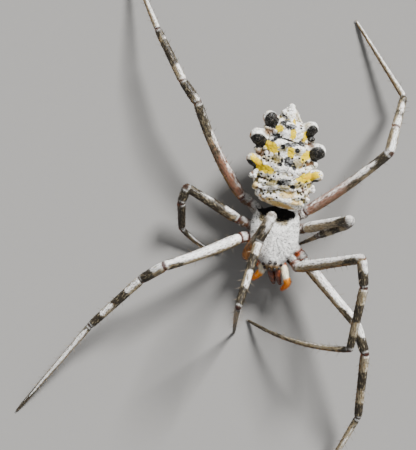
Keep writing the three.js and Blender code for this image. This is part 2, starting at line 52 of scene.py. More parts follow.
# The front body's middle and turn in plan. Its pit is placed by forward, left, size and depth, its hollow,
# painted black as the shadow under the hind body's front, by forward, height and three half sizes. Mouth,
# gap and beige are ellipses: x, y, half sizes and turn; the gap is painted black as shade by the left first
# leg.
frontForm = {
    "x": -0.05, "y": -1.1, "turn": 5, "voxel": 0.07, "inset": 0.05, "coxaHeight": 4.2,
    "coxaRadii": (
        (0, 0.8), (0.3, 0.84), (0.52, 0.78), (0.58, 0.62), (0.64, 0.76), (0.9, 0.8), (0.96, 0.7),
        (1, 0.55),
    ),
    "pit": (-0.7, 0.0, 0.45, 0.16), "hollow": (-4.5, 7.5, 2.35, 3.0, 2.25),
    "mouth": (0.15, 3.02, 2.75, 1.18, -17), "gap": (1.85, -3.9, 0.2, 0.6, 24),
    "beige": ((-1.7, 2.05, 0.45, 0.65), (1.0, 1.38, 0.95, 0.52, -14)),
}
# Each eye: forward, left, height and radius.
eyeForm = {
    "posterior_median": (3.0, 0.38, 6.88, 0.25), "anterior_median": (3.84, 0.35, 6.3, 0.26),
    "posterior_lateral": (3.2, 1.22, 5.96, 0.24), "anterior_lateral": (3.72, 0.97, 5.82, 0.23),
}
frontTurn = math.radians(frontForm["turn"])
forwardWay = Vector((-math.sin(frontTurn), -math.cos(frontTurn), 0))
leftWay = Vector((math.cos(frontTurn), -math.sin(frontTurn), 0))


def onFront(forward, left, height):
    return Vector((frontForm["x"], frontForm["y"], height)) + forwardWay * forward + leftWay * left


# Tables of places leave out the shift to the frame's origin, which one eye of the frame gives.
def findShift():
    low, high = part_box("eye_posterior_median_left")
    middle = (low + high) * 500  # half the sum, and metres to millimetres
    return middle - onFront(*eyeForm["posterior_median"][:3])


shift = findShift()

# The camera looks straight down: its place and its lens in millimetres.
view = {"x": -9.11, "y": 1.096, "height": 166.0, "lens": 93.45}


def newObject(name, data):
    made = bpy.data.objects.new(name, data)
    bpy.context.scene.collection.objects.link(made)
    return made


def setUpCamera():
    camera = newObject("viewCamera", bpy.data.cameras.new("viewCamera"))
    camera.location = (Vector((view["x"], view["y"], view["height"])) + shift) * 0.001
    camera.data.lens = view["lens"]
    camera.data.sensor_width = 36
    camera.data.clip_start = 0.001
    camera.data.clip_end = 10
    bpy.context.scene.camera = camera


setUpCamera()


def addNode(tree, kind, settings=None, inputs=None):
    made = tree.nodes.new(kind)
    for key, value in (settings or {}).items():
        setattr(made, key, value)
    for key, value in (inputs or {}).items():
        if isinstance(value, bpy.types.NodeSocket):
            tree.links.new(value, made.inputs[key])
        else:
            made.inputs[key].default_value = value
    return made


def amount(tree, name, output="Fac"):
    return addNode(tree, "ShaderNodeAttribute", {"attribute_name": name}).outputs[output]


def objectPlace(tree):
    return addNode(tree, "ShaderNodeTexCoord").outputs["Object"]


def calc(tree, operation, first, second):
    return addNode(tree, "ShaderNodeMath", {"operation": operation}, {0: first, 1: second}).outputs[0]


def times(tree, first, second):
    return calc(tree, "MULTIPLY", first, second)


def total(tree, *values):
    whole = values[0]
    for value in values[1:]:
        whole = calc(tree, "ADD", whole, value)
    return whole


def swing(tree, value, strength):
    return times(tree, calc(tree, "SUBTRACT", value, 0.5), strength)


# Noise on a vector, with one scale or with one for each axis.
def grain(tree, vector, scale, detail=3.0, roughness=0.6):
    if isinstance(scale, tuple):
        vector = addNode(tree, "ShaderNodeMapping", {}, {"Vector": vector, "Scale": scale}).outputs[0]
        scale = 1.0
    inputs = {"Vector": vector, "Scale": scale, "Detail": detail, "Roughness": roughness}
    return addNode(tree, "ShaderNodeTexNoise", {}, inputs).outputs[0]


def soften(tree, value, low, high, out=(0.0, 1.0)):
    inputs = {"Value": value, "From Min": low, "From Max": high, "To Min": out[0], "To Max": out[1]}
    settings = {"interpolation_type": "SMOOTHSTEP"}
    return addNode(tree, "ShaderNodeMapRange", settings, inputs).outputs[0]


def blendColours(tree, factor, first, second):
    made = addNode(tree, "ShaderNodeMix", {"data_type": "RGBA"}, {0: factor})
    for socket, value in ((made.inputs[6], first), (made.inputs[7], second)):
        if isinstance(value, bpy.types.NodeSocket):
            tree.links.new(value, socket)
        else:
            socket.default_value = (*value, 1)
    return made.outputs[2]


# Lays colours over a first one, each where its mask is.
def layered(tree, colour, layers):
    for mask, tint in layers:
        colour = blendColours(tree, mask, colour, tint)
    return colour


def newMaterial(name, roughness, specular, subsurface=0.0):
    material = bpy.data.materials.new(name)
    material.use_nodes = True
    tree = material.node_tree
    shader = tree.nodes["Principled BSDF"]
    shader.inputs["Roughness"].default_value = roughness
    shader.inputs["Specular IOR Level"].default_value = specular
    if subsurface:
        shader.inputs["Subsurface Weight"].default_value = subsurface
        shader.inputs["Subsurface Radius"].default_value = (1.0, 0.4, 0.2)
        shader.inputs["Subsurface Scale"].default_value = 0.0004
    return material, tree, shader


# Gives a shader its colour and, where there is a height, its bumps.
def dress(tree, shader, colour, height=None, strength=0.0, depth=0.0):
    tree.links.new(colour, shader.inputs["Base Color"])
    if height is not None:
        inputs = {"Height": height, "Strength": strength, "Distance": depth}
        bump = addNode(tree, "ShaderNodeBump", {}, inputs)
        tree.links.new(bump.outputs[0], shader.inputs["Normal"])


legLook = {
    # silver lies on the flank towards the light, partly the coat's own colour and partly painted light;
    # gold, brown and lowBand go on the flank away from it, partly painted shade
    "silver": (0.92, 0.905, 0.87), "tan": (0.23, 0.17, 0.085), "paleTan": (0.50, 0.435, 0.29),
    "ruddy": (0.24, 0.105, 0.06), "line": (0.09, 0.05, 0.03),
    "darkHair": (0.026, 0.019, 0.009), "ashHair": (0.22, 0.18, 0.11), "speck": (0.035, 0.024, 0.018),
    "gold": (0.34, 0.18, 0.05), "brown": (0.085, 0.048, 0.024), "lowBand": (0.016, 0.009, 0.006),
    "amber": (0.42, 0.16, 0.025), "deepAmber": (0.20, 0.09, 0.03),
    "seam": (0.05, 0.009, 0.005), "membrane": (0.50, 0.09, 0.008),
}


def legMaterial(name, hairy):
    material, tree, shader = newMaterial(name, 0.62 if hairy else 0.42, 0.4, 0.0 if hairy else 0.08)
    along = amount(tree, "legMap", "Vector")
    streak = grain(tree, along, (0.8, 3.6, 3.6), 5, 0.68)
    grit = grain(tree, along, (2.2, 3.2, 3.2), 2)
    blotch = grain(tree, along, (1.3, 1.2, 1.2), 4)
    # how far each point faces towards the light, where the coat is silver: partly its own colour and partly
    # painted light
    side = amount(tree, "silverAndLitSide")
    waver = total(tree, side, swing(tree, streak, 1.3), swing(tree, blotch, 0.6), swing(tree, grit, 0.9))
    frosted = total(tree, waver, amount(tree, "frost"))
    # bands break up into blotches and streaks, most on the hind legs, and let a silver line through on the
    # flank towards the light, partly the coat's own and partly a painted highlight
    mottle = times(tree, amount(tree, "mottle"), 0.36)
    breaks = total(tree, swing(tree, blotch, 1.2), swing(tree, streak, 0.8), swing(tree, grit, 0.9))
    broken = total(tree, amount(tree, "band"), breaks, mottle)
    litEdgeLine = soften(tree, frosted, 0.95, 1.3, (0.0, 0.4))
    dark = soften(tree, calc(tree, "SUBTRACT", broken, litEdgeLine), 0.38, 0.60)
    darkCoat = blendColours(tree, soften(tree, grit, 0.55, 0.66), legLook["darkHair"], legLook["ashHair"])
    # the pale coat goes from silver on the flank towards the light through tan to golden skin on the flank
    # away from it: partly the coat's own colours and partly painted light and shade
    tan = blendColours(tree, soften(tree, streak, 0.42, 0.60), legLook["tan"], legLook["paleTan"])
    ruddy = times(tree, soften(tree, waver, 1.25, 0.85), soften(tree, streak, 0.62, 0.5, (0.3, 1.0)))
    lines = times(tree, soften(tree, streak, 0.51, 0.59), soften(tree, side, 1.25, 0.5, (0.0, 0.8)))
    pale = layered(tree, tan, [
        (soften(tree, frosted, 0.62, 1.0), legLook["silver"]),
        (times(tree, amount(tree, "ruddy"), ruddy), legLook["ruddy"]),
        (lines, legLook["line"]),
    ])
    golden = amount(tree, "golden")
    warmth = total(tree, blotch, swing(tree, streak, 0.6), times(tree, golden, -0.35))
    # painted shade with the skin's own colour: golden-brown and darker bands on the flank turned from the
    # light
    lower = layered(tree, legLook["gold"], [
        (soften(tree, warmth, 0.43, 0.56), legLook["brown"]),
        (times(tree, dark, 0.85), legLook["lowBand"]),
    ])
    under = calc(tree, "SUBTRACT", waver, amount(tree, "lowSkin"))
    gilded = times(tree, soften(tree, golden, 0.4, 0.9), soften(tree, frosted, 1.1, 0.7))
    amber = blendColours(tree, soften(tree, warmth, 0.12, 0.3), legLook["amber"], legLook["deepAmber"])
    specks = times(tree, soften(tree, grit, 0.44, 0.36), soften(tree, frosted, 0.9, 1.5, (0.75, 0.3)))
    collar = times(tree, amount(tree, "collar"), soften(tree, waver, -0.1, 0.3))
    colour = layered(tree, pale, [
        (dark, darkCoat),
        (soften(tree, under, -0.12, -0.46), lower),
        (gilded, amber), (specks, legLook["speck"]), (collar, legLook["silver"]),
        (amount(tree, "membrane"), legLook["membrane"]),
        (amount(tree, "seam"), legLook["seam"]),
    ])
    height = None
    if not hairy:
        height = total(tree, streak, times(tree, grain(tree, along, (6.0, 4.5, 4.5)), 0.6))
    dress(tree, shader, colour, height, 0.8, 0.00007)
    return material


shellLook = {
    "silver": (0.92, 0.91, 0.88), "grey": (0.40, 0.39, 0.37), "dash": (0.055, 0.05, 0.045),
    "tan": (0.36, 0.21, 0.07), "beige": (0.42, 0.34, 0.18), "beigeRoot": (0.05, 0.04, 0.03),
    # black is painted shadow, laid in the hollow at the rear, under the hind body and in the gap by the left
    # first leg; coxa is the hips' brown, partly painted shade
    "black": (0.003, 0.0025, 0.0025), "coxa": (0.13, 0.075, 0.04), "under": (0.03, 0.018, 0.013),
    "stripe": (0.60, 0.40, 0.07), "seam": (0.045, 0.008, 0.005), "membrane": (0.50, 0.09, 0.008),
    "clypeus": (0.07, 0.03, 0.012),
}


def shellMaterial(name, hairy):
    material, tree, shader = newMaterial(name, 0.7 if hairy else 0.5, 0.35)
    place = objectPlace(tree)
    ray = grain(tree, amount(tree, "rays", "Vector"), 1.0, 4, 0.65)
    fleck = grain(tree, place, 5200.0)
    cloud = grain(tree, place, 1000.0)
    both = total(tree, times(tree, ray, 0.65), times(tree, cloud, 0.35))
    # painted shade: grey laid into the furrows and other sunk places of the shell
    furrows = soften(tree, amount(tree, "ridge"), 0.0, -0.8, (0.0, 0.8))
    mottled = calc(tree, "MAXIMUM", soften(tree, both, 0.52, 0.38, (0.0, 0.65)), furrows)
    dashes = times(tree, soften(tree, fleck, 0.47, 0.39), soften(tree, ray, 0.60, 0.44, (0.4, 1.0)))
    tanPatch = times(tree, amount(tree, "tan"), soften(tree, ray, 0.32, 0.5, (0.5, 1.0)))
    tufted = blendColours(tree, soften(tree, fleck, 0.46, 0.54), shellLook["beigeRoot"], shellLook["beige"])
    hipGrain = total(tree, times(tree, cloud, 0.6), times(tree, fleck, 0.4))
    # the hips' brown, partly their own colour and partly painted shade
    coxa = times(tree, amount(tree, "coxa"), soften(tree, hipGrain, 0.44, 0.52, (0.25, 1.0)))
    # painted shadow: black in the hollow at the rear, under the hind body and in the gap by the left first
    # leg, and less glossy there
    hollow = soften(tree, total(tree, amount(tree, "hollow"), swing(tree, fleck, 0.8)), 0.36, 0.5)
    colour = layered(tree, shellLook["silver"], [
        (mottled, shellLook["grey"]), (dashes, shellLook["dash"]), (tanPatch, shellLook["tan"]),
        (amount(tree, "clypeus"), shellLook["clypeus"]),
        (amount(tree, "beige"), tufted),
        (coxa, shellLook["coxa"]),
        *((amount(tree, key), shellLook[key]) for key in ("under", "stripe", "membrane", "seam")),
        (hollow, shellLook["black"]),
    ])
    tree.links.new(soften(tree, hollow, 0.0, 1.0, (0.6, 1.0)), shader.inputs["Roughness"])
    dress(tree, shader, colour, None if hairy else total(tree, ray, fleck), 0.6, 0.00006)
    return material


hindLook = {
    "white": (0.92, 0.905, 0.86), "warm": (0.60, 0.52, 0.34), "cream": (0.62, 0.43, 0.13),
    "grey": (0.26, 0.26, 0.24), "olive": (0.17, 0.125, 0.012), "speck": (0.045, 0.035, 0.025),
    "yellow": (0.68, 0.49, 0.0), "amber": (0.72, 0.34, 0.0), "lip": (0.42, 0.24, 0.05),
    # rim is a painted glow of light along the knobs' edge on the side turned from the light
    "rust": (0.13, 0.058, 0.020), "rim": (0.42, 0.17, 0.03),
    "black": (0.004, 0.0035, 0.003), "ash": (0.17, 0.155, 0.13),
    "blot": (0.008, 0.0075, 0.007), "paleBlot": (0.17, 0.17, 0.165),
    "under": (0.06, 0.036, 0.024), "stripe": (0.60, 0.46, 0.18),
}


def hindMaterial(name, hairy):
    material, tree, shader = newMaterial(name, 0.6 if hairy else 0.4, 0.3, 0.0 if hairy else 0.06)
    place = objectPlace(tree)
    fleck = grain(tree, place, 3000.0, 4)
    dust = grain(tree, place, 7500.0)
    cloud = grain(tree, place, 800.0, 4)

    def patch(key, low, high, strength=1.0):
        frayed = total(tree, amount(tree, key), swing(tree, fleck, 1.1))
        return soften(tree, frayed, low, high, (0.0, strength))

    cells = addNode(tree, "ShaderNodeTexVoronoi", {"feature": "DISTANCE_TO_EDGE"},
                    {"Vector": place, "Scale": 2100.0})
    scales = cells.outputs["Distance"]
    ridge = total(tree, amount(tree, "ridge"), swing(tree, fleck, 0.8))
    blot = blendColours(tree, soften(tree, fleck, 0.43, 0.53), hindLook["paleBlot"], hindLook["blot"])
    belly = blendColours(tree, patch("stripe", 0.4, 0.6), hindLook["under"], hindLook["stripe"])
    ash = times(tree, soften(tree, dust, 0.55, 0.66), amount(tree, "ash"))
    pit = total(tree, amount(tree, "pit"), swing(tree, dust, 0.5))
    colour = layered(tree, hindLook["white"], [
        (soften(tree, cloud, 0.48, 0.66), hindLook["warm"]),
        (soften(tree, scales, 0.13, 0.02, (0.0, 0.45)), hindLook["grey"]),
        # painted shade: olive laid into the folds and other sunk places
        (soften(tree, ridge, -0.02, -0.5, (0.0, 0.92)), hindLook["olive"]),
        (patch("olive", 0.3, 0.75, 0.85), hindLook["olive"]),
        (patch("cream", 0.3, 0.7, 0.85), hindLook["cream"]),
        # the skin's own rust-brown with painted shade in the creases between the beads
        (patch("shadedCrevice", 0.3, 0.65, 0.9), hindLook["rust"]),
        (patch("rust", 0.35, 0.8, 0.85), hindLook["rust"]),
        (soften(tree, fleck, 0.43, 0.36, (0.0, 0.9)), hindLook["speck"]),
        (patch("yellow", 0.28, 0.38), hindLook["yellow"]),
        (patch("amber", 0.42, 0.58, 0.5), hindLook["amber"]),
        (patch("blot", 0.26, 0.46), blot),
        (patch("under", 0.3, 0.7), belly),
        # painted light: the orange glow along the knobs' edge away from the light
        (soften(tree, amount(tree, "rim"), 0.35, 0.6), hindLook["rim"]),
        # the knobs' black faces: their own colour with painted shade
        (soften(tree, amount(tree, "black"), 0.44, 0.54),
         blendColours(tree, ash, hindLook["black"], hindLook["ash"])),
        (times(tree, amount(tree, "lip"), 0.85), hindLook["lip"]),
        (soften(tree, pit, 0.38, 0.56), hindLook["black"]),
    ])
    height = None if hairy else total(tree, times(tree, scales, 1.4), fleck)
    dress(tree, shader, colour, height, 0.6, 0.00008)
    return material


# Colours along a palp, from its root to its tip.
palpLook = {
    "ramp": [
        (0.0, (0.50, 0.08, 0.01)), (0.10, (0.55, 0.14, 0.02)),
        (0.15, (0.85, 0.78, 0.58)), (0.44, (0.90, 0.84, 0.68)),
        (0.49, (1.0, 0.36, 0.004)), (0.74, (0.98, 0.27, 0.0)),
        (0.9, (0.72, 0.16, 0.005)), (1.0, (0.22, 0.05, 0.01)),
    ],
    "speck": (0.25, 0.10, 0.03),
}


def palpMaterial(name, hairy):
    material, tree, shader = newMaterial(name, 0.6 if hairy else 0.42, 0.45, 0.0 if hairy else 0.2)
    fleck = grain(tree, amount(tree, "legMap", "Vector"), (4.0, 5.0, 5.0))
    place = total(tree, amount(tree, "place"), swing(tree, fleck, 0.12))
    made = addNode(tree, "ShaderNodeValToRGB", {}, {0: place})
    stops = palpLook["ramp"]
    for element, (at, colour) in zip(made.color_ramp.elements, (stops[0], stops[-1])):
        element.position = at
        element.color = (*colour, 1)
    for at, colour in stops[1:-1]:
        made.color_ramp.elements.new(at).color = (*colour, 1)
    specks = soften(tree, fleck, 0.4, 0.3, (0.0, 0.4))
    colour = blendColours(tree, specks, made.outputs[0], palpLook["speck"])
    dress(tree, shader, colour, None if hairy else fleck, 0.5, 0.00005)
    return material


def hornMaterial(name, base, tint, roughness):
    material, tree, shader = newMaterial(name, roughness, 0.6)
    place = objectPlace(tree)
    colour = blendColours(tree, soften(tree, grain(tree, place, 1400.0, 4), 0.38, 0.64), base, tint)
    dress(tree, shader, colour, grain(tree, place, 6000.0, 2), 0.25, 0.00003)
    return material


looks = {
    "legSkin": legMaterial("legSkin", False),
    "legHair": legMaterial("legHair", True),
    "shellSkin": shellMaterial("shellSkin", False),
    "shellHair": shellMaterial("shellHair", True),
    "hindSkin": hindMaterial("hindSkin", False),
    "hindHair": hindMaterial("hindHair", True),
    "palpSkin": palpMaterial("palpSkin", False),
    "palpHair": palpMaterial("palpHair", True),
    "jaw": hornMaterial("jaw", (0.06, 0.012, 0.005), (0.17, 0.04, 0.012), 0.26),
    "fang": hornMaterial("fang", (0.02, 0.008, 0.005), (0.09, 0.03, 0.015), 0.2),
    "spine": hornMaterial("spine", (0.28, 0.22, 0.15), (0.05, 0.035, 0.022), 0.4),
    "eye": hornMaterial("eye", (0.006, 0.005, 0.006), (0.03, 0.018, 0.012), 0.06),
}
print("materials ready")


def ringFrame(centre, heading, hint):
    side = heading.cross(hint)
    if side.length < 1e-4:
        side = heading.cross(Vector((0, 1, 0.01)))  # a heading along the hint takes another
    side.normalize()
    up = side.cross(heading)
    turned = Matrix((side, up, heading)).transposed().to_4x4()
    turned.translation = centre
    return turned


def radiusAt(profile, share):
    return float(np.interp(share, *zip(*profile)))


# A closed tube of rings through the centres, drawn out ring by ring, with rounded ends.
def addTube(form, centres, radii, sides=14):
    last = len(centres) - 1
    headings = [(centres[min(i + 1, last)] - centres[max(i - 1, 0)]).normalized() for i in range(last + 1)]
    ends = []
    for at, way, order in ((0, -1, (75, 50, 25)), (-1, 1, (25, 50, 75))):
        ends.append([
            (centres[at] + headings[at] * (way * math.sin(math.radians(a)) * radii[at]),
             headings[at], radii[at] * math.cos(math.radians(a)))
            for a in order
        ])
    stations = ends[0] + list(zip(centres, headings, radii)) + ends[1]
    ring = bmesh.ops.create_circle(form, cap_ends=True, radius=1, segments=sides)["verts"]
    edges = list({edge for vert in ring for edge in vert.link_edges})
    held = Matrix.Identity(4)
    for count, (centre, heading, radius) in enumerate(stations):
        placed = ringFrame(centre, heading, upright) @ Matrix.Scale(radius, 4)
        if count:
            drawn = bmesh.ops.extrude_edge_only(form, edges=edges)["geom"]
            ring = [part for part in drawn if isinstance(part, bmesh.types.BMVert)]
            members = set(ring)
            edges = [part for part in drawn
                     if isinstance(part, bmesh.types.BMEdge) and set(part.verts) <= members]
        bmesh.ops.transform(form, matrix=placed @ held.inverted(), verts=ring)
        held = placed
    bmesh.ops.contextual_create(form, geom=edges)


# A tube with a radius profile along an evenly stepped line.
def addProfile(form, line, profile, scale=1.0, sides=14):
    shares = [i / (len(line) - 1) for i in range(len(line))]
    addTube(form, line, [radiusAt(profile, share) * scale for share in shares], sides=sides)


def addBall(form, centre, radius, stretch=(1, 1, 1)):
    sized = Matrix.Translation(centre) @ Matrix.Diagonal((*stretch, 1))
    bmesh.ops.create_uvsphere(form, u_segments=20, v_segments=14, radius=radius, matrix=sized)


def addCadNode(form, name):
    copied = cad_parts[name].data.copy()
    copied.transform(toMillimetres)
    form.from_mesh(copied)
    bpy.data.meshes.remove(copied)


def objectOf(name, form):
    bmesh.ops.recalc_face_normals(form, faces=form.faces[:])
    mesh = bpy.data.meshes.new(name)
    form.to_mesh(mesh)
    form.free()
    mesh.shade_smooth()
    return newObject(name, mesh)


# A copy of a piece's mesh, smoothed, and first fused into one skin where a voxel size is given.
def relaxed(piece, rounds, voxel=0.0):
    if voxel:
        remesh = piece.modifiers.new("Fuse", "REMESH")
        remesh.mode = "VOXEL"
        remesh.voxel_size = voxel
    relax = piece.modifiers.new("Relax", "SMOOTH")
    relax.factor = 0.5
    relax.iterations = rounds
    bpy.context.view_layer.update()
    evaluated = piece.evaluated_get(bpy.context.evaluated_depsgraph_get())
    mesh = bpy.data.meshes.new_from_object(evaluated)
    piece.modifiers.clear()
    return mesh


# Fuses closed forms into one smooth skin, all in millimetres.
def fuse(name, form, voxel, rounds):
    bmesh.ops.remove_doubles(form, verts=form.verts[:], dist=0.0005)
    piece = objectOf(name, form)
    rough = piece.data
    piece.data = relaxed(piece, rounds, voxel)
    bpy.data.meshes.remove(rough)
    piece.data.name = name
    piece.data.shade_smooth()
    print(name, "fused:", len(piece.data.polygons), "faces")
    return piece


def vertexValues(mesh, key):
    flat = np.empty(len(mesh.vertices) * 3, np.float32)
    mesh.vertices.foreach_get(key, flat)
    return flat.reshape(-1, 3).astype(float)


def places(mesh):
    return vertexValues(mesh, "co")


def normals(mesh):
    return vertexValues(mesh, "normal")


def movePoints(mesh, points):
    mesh.vertices.foreach_set("co", points.astype(np.float32).ravel())
    mesh.update()


# Markings are kept as attributes on the points, for the materials and the coat to read.
def paint(mesh, markings):
    for name, values in markings.items():
        values = np.asarray(values, np.float32)
        kind, key = ("FLOAT", "value") if values.ndim == 1 else ("FLOAT_VECTOR", "vector")
        mesh.attributes.new(name, kind, "POINT").data.foreach_set(key, values.ravel())


def painted(mesh, name):
    layer = mesh.attributes[name]
    width, key = (1, "value") if layer.data_type == "FLOAT" else (3, "vector")
    flat = np.empty(len(mesh.vertices) * width, np.float32)
    layer.data.foreach_get(key, flat)
    return flat if width == 1 else flat.reshape(-1, 3)


def unit(vectors, least=1e-9):
    return vectors / np.maximum(np.linalg.norm(vectors, axis=1, keepdims=True), least)


# 1 at the value 0, falling away over a width on both sides.
def hump(values, width):
    return np.exp(-(values / width) ** 2)


def smoothStep(values, low, high):
    share = np.clip((values - low) / (high - low), 0, 1)
    return share * share * (3 - 2 * share)


# How far a point lies inside a flat ellipse: 1 at its middle, 0.5 on its edge, 0 at twice its size.
def ellipse(points, x, y, halfWidth, halfHeight, turn=0):
    angle = math.radians(turn)
    across = (points[:, 0] - x) * math.cos(angle) + (points[:, 1] - y) * math.sin(angle)
    upward = (points[:, 1] - y) * math.cos(angle) - (points[:, 0] - x) * math.sin(angle)
    return np.clip(1 - 0.5 * np.sqrt((across / halfWidth) ** 2 + (upward / halfHeight) ** 2), 0, 1)


def noiseAt(points, scale, seed):
    offset = Vector((seed * 7.3, seed * 3.1, seed * 5.7))
    return np.array([noise.noise(Vector(p) * scale + offset) for p in points.tolist()])


# How far each point stands out from the skin smoothed, in units of size: ridges above 0, folds below.
def relief(piece, rounds, size):
    smoothed = relaxed(piece, rounds)
    standing = ((places(piece.data) - places(smoothed)) * normals(piece.data)).sum(axis=1)
    bpy.data.meshes.remove(smoothed)
    return np.clip(standing / size, -1, 1)


# Unwraps a skin by its own faces, for the coat to look its colours up in.
def unwrap(piece):
    bpy.ops.object.select_all(action="DESELECT")
    bpy.context.view_layer.objects.active = piece
    piece.select_set(True)
    piece.data.uv_layers.new(name="skinMap")
    bpy.ops.object.mode_set(mode="EDIT")
    bpy.ops.mesh.select_all(action="SELECT")
    bpy.ops.uv.smart_project(angle_limit=math.radians(66), island_margin=0.001)
    bpy.ops.object.mode_set(mode="OBJECT")


tuftFlatness = 0.6
bakePatch = 0.0015  # half the width of a tuft's own patch in the bake's map


# Plants small solid tufts over a skin, leaning along its "lie". Each carries its root's markings.
def plantTufts(name, skin, look, coat, cover):
    mesh = skin.data
    mesh.calc_loop_triangles()
    count = len(mesh.loop_triangles)
    corners, loops = np.empty(count * 3, np.int32), np.empty(count * 3, np.int32)
    mesh.loop_triangles.foreach_get("vertices", corners)
    mesh.loop_triangles.foreach_get("loops", loops)
    corners, loops = corners.reshape(-1, 3), loops.reshape(-1, 3)
    flatUv = np.empty(len(mesh.loops) * 2, np.float32)
    mesh.uv_layers["skinMap"].data.foreach_get("uv", flatUv)
    points = places(mesh)
    a, b, c = (points[corners[:, i]] for i in range(3))
    weight = np.linalg.norm(np.cross(b - a, c - a), axis=1) / 2 * cover[corners].mean(axis=1)
    wanted = int(weight.sum() * coat["perSquare"])
    random = np.random.default_rng(coat["seed"])
    picked = random.choice(count, wanted, p=weight / weight.sum())
    u, v = random.random(wanted), random.random(wanted)
    fold = u + v > 1
    u[fold], v[fold] = 1 - u[fold], 1 - v[fold]
    share = np.stack([1 - u - v, u, v], axis=1)

    def spread(values, index=corners):
        return np.einsum("ni,ni...->n...", share, values[index[picked]])

    names = [layer.name for layer in mesh.attributes if layer.domain == "POINT"
             and layer.data_type in ("FLOAT", "FLOAT_VECTOR") and layer.name != "position"]
    carried = {key: spread(painted(mesh, key)) for key in names}
    root, up = spread(points), unit(spread(normals(mesh)))
    lift = np.radians(random.uniform(*coat["lift"], wanted))[:, None]
    lie = carried["lie"] - up * (carried["lie"] * up).sum(axis=1, keepdims=True)
    lie = unit(lie + random.normal(0, coat["stray"], (wanted, 3)))
    way = unit(unit(lie - up * (lie * up).sum(axis=1, keepdims=True)) * np.cos(lift) + up * np.sin(lift))
    side = unit(np.cross(way, up))
    back = np.cross(side, way)
    length = random.uniform(*coat["length"], wanted)[:, None]
    width = coat["width"] / 2

    template = bmesh.new()
    bmesh.ops.create_cone(template, cap_ends=True, segments=3, radius1=1, radius2=0, depth=1,
                          matrix=Matrix.Translation((0, 0, 0.5)))
    bmesh.ops.remove_doubles(template, verts=template.verts[:], dist=1e-5)
    bmesh.ops.recalc_face_normals(template, faces=template.faces[:])
    shape = np.array([vert.co[:] for vert in template.verts])
    faces = [[vert.index for vert in face.verts] for face in template.faces]
    template.free()

    tuft = (root - up * width * 0.5)[:, None, :] \
        + shape[None, :, 0:1] * width * side[:, None, :] \
        + shape[None, :, 1:2] * width * tuftFlatness * back[:, None, :] \
        + shape[None, :, 2:3] * (length * way)[:, None, :]
    size = len(shape)
    pattern = np.concatenate(faces)
    totals = np.array([len(face) for face in faces])
    indices = (np.arange(wanted)[:, None] * size + pattern[None, :]).ravel()
    starts = np.concatenate([[0], np.cumsum(np.tile(totals, wanted))[:-1]])
    coatMesh = bpy.data.meshes.new(name)
    coatMesh.vertices.add(wanted * size)
    coatMesh.vertices.foreach_set("co", tuft.astype(np.float32).ravel())
    coatMesh.loops.add(len(indices))
    coatMesh.loops.foreach_set("vertex_index", indices.astype(np.int32))
    coatMesh.polygons.add(len(starts))
    coatMesh.polygons.foreach_set("loop_start", starts.astype(np.int32))
    coatMesh.update(calc_edges=True)
    patchUv = spread(flatUv.reshape(-1, 2), loops)[:, None, :] + shape[None, pattern, :2] * bakePatch
    coatMesh.uv_layers.new(name="OFBake").data.foreach_set("uv", patchUv.astype(np.float32).ravel())
    paint(coatMesh, {key: np.repeat(values, size, axis=0) for key, values in carried.items()})
    coatMesh.materials.append(looks[look])
    print(name, "planted:", wanted, "tufts")
    return newObject(name, coatMesh)


def finish(piece, replaced=(), look=None):
    if look:
        piece.data.materials.clear()
        piece.data.materials.append(looks[look])
    piece.data.transform(toMetres)
    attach(piece, "root")
    if replaced:
        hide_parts(*replaced)


legLengths = {
    1: (12.1, 3.9, 9.0, 17.3),
    2: (11.6, 4.3, 10.0, 17.0),
    3: (8.4, 2.3, 4.8, 6.6),
    4: (14.3, 3.7, 8.2, 13.0),
}
legStoutness = {1: 1.0, 2: 1.06, 3: 0.95, 4: 1.0}
# Each leg: its pair, two points of the coxa in plan, the hip, the turn in plan of the femur, patella, tibia
# and foot, the height that the first three end at, and how far femur, tibia and foot bow sideways and sag.
poseNames = ("pair", "coxa", "hip", "turn", "height", "bow", "sag")
poseRows = {
    "right_1": (1, ((-1.08, -1.81), (-2.7, -2.6)), (-3.85, -3.2, 4.9), (61.2, -117, -107.9, -92.5),
        (15.25, 14.5, 16.75), (0, 0, 0), (0, 0, 0.3)),
    "right_2": (2, ((-1.5, -0.84), (-3.25, -0.6)), (-4.75, -0.7, 4.7), (-160, -150, -138, -131),
        (8.9, 6.9, 4.3), (0.2, 0, 0), (-0.3, 0, 0)),
    "right_3": (3, ((-1.5, 0.4), (-3.4, 1.2)), (-4.95, 1.9, 4.8), (148.4, -111, -90, -36),
        (6.2, 5.4, 2.2), (0, 0, -0.4), (0, 0, 0)),
    "right_4": (4, ((-1.08, 1.65), (-3.0, 3.95)), (-4.45, 5.0, 4.8), (115.5, 124, 115.5, 112),
        (7.6, 7.2, 5.5), (0.5, 0, 0), (0, 0, 0)),
    "left_1": (1, ((1.0, -1.95), (2.75, -3.95)), (3.2, -4.75, 5.6), (11, -84, -100.2, 167.2),
        (14.9, 13.9, 11.05), (0, 0, 1.0), (0, 0, 0)),
    "left_2": (2, ((1.55, -0.84), (3.2, -2.5)), (4.05, -3.7, 4.2), (-51.2, -73, -93, -118),
        (8.3, 8.1, 4.3), (0, 0, 0), (0.7, 0, 0)),
    "left_3": (3, ((1.69, 0.4), (3.3, 0.5)), (4.3, 0.65, 4.9), (12, -90, -158, -150),
        (11.2, 9.0, 6.2), (0, 0, 0), (0, 0, 0)),
    "left_4": (4, ((1.27, 1.65), (3.3, 2.35)), (4.4, 2.95, 4.8), (36, 74, 66, 119.5),
        (10.3, 9.4, 3.1), (-0.3, 0, 0), (0, 0, 0)),
}
legPoses = {name: dict(zip(poseNames, row)) for name, row in poseRows.items()}
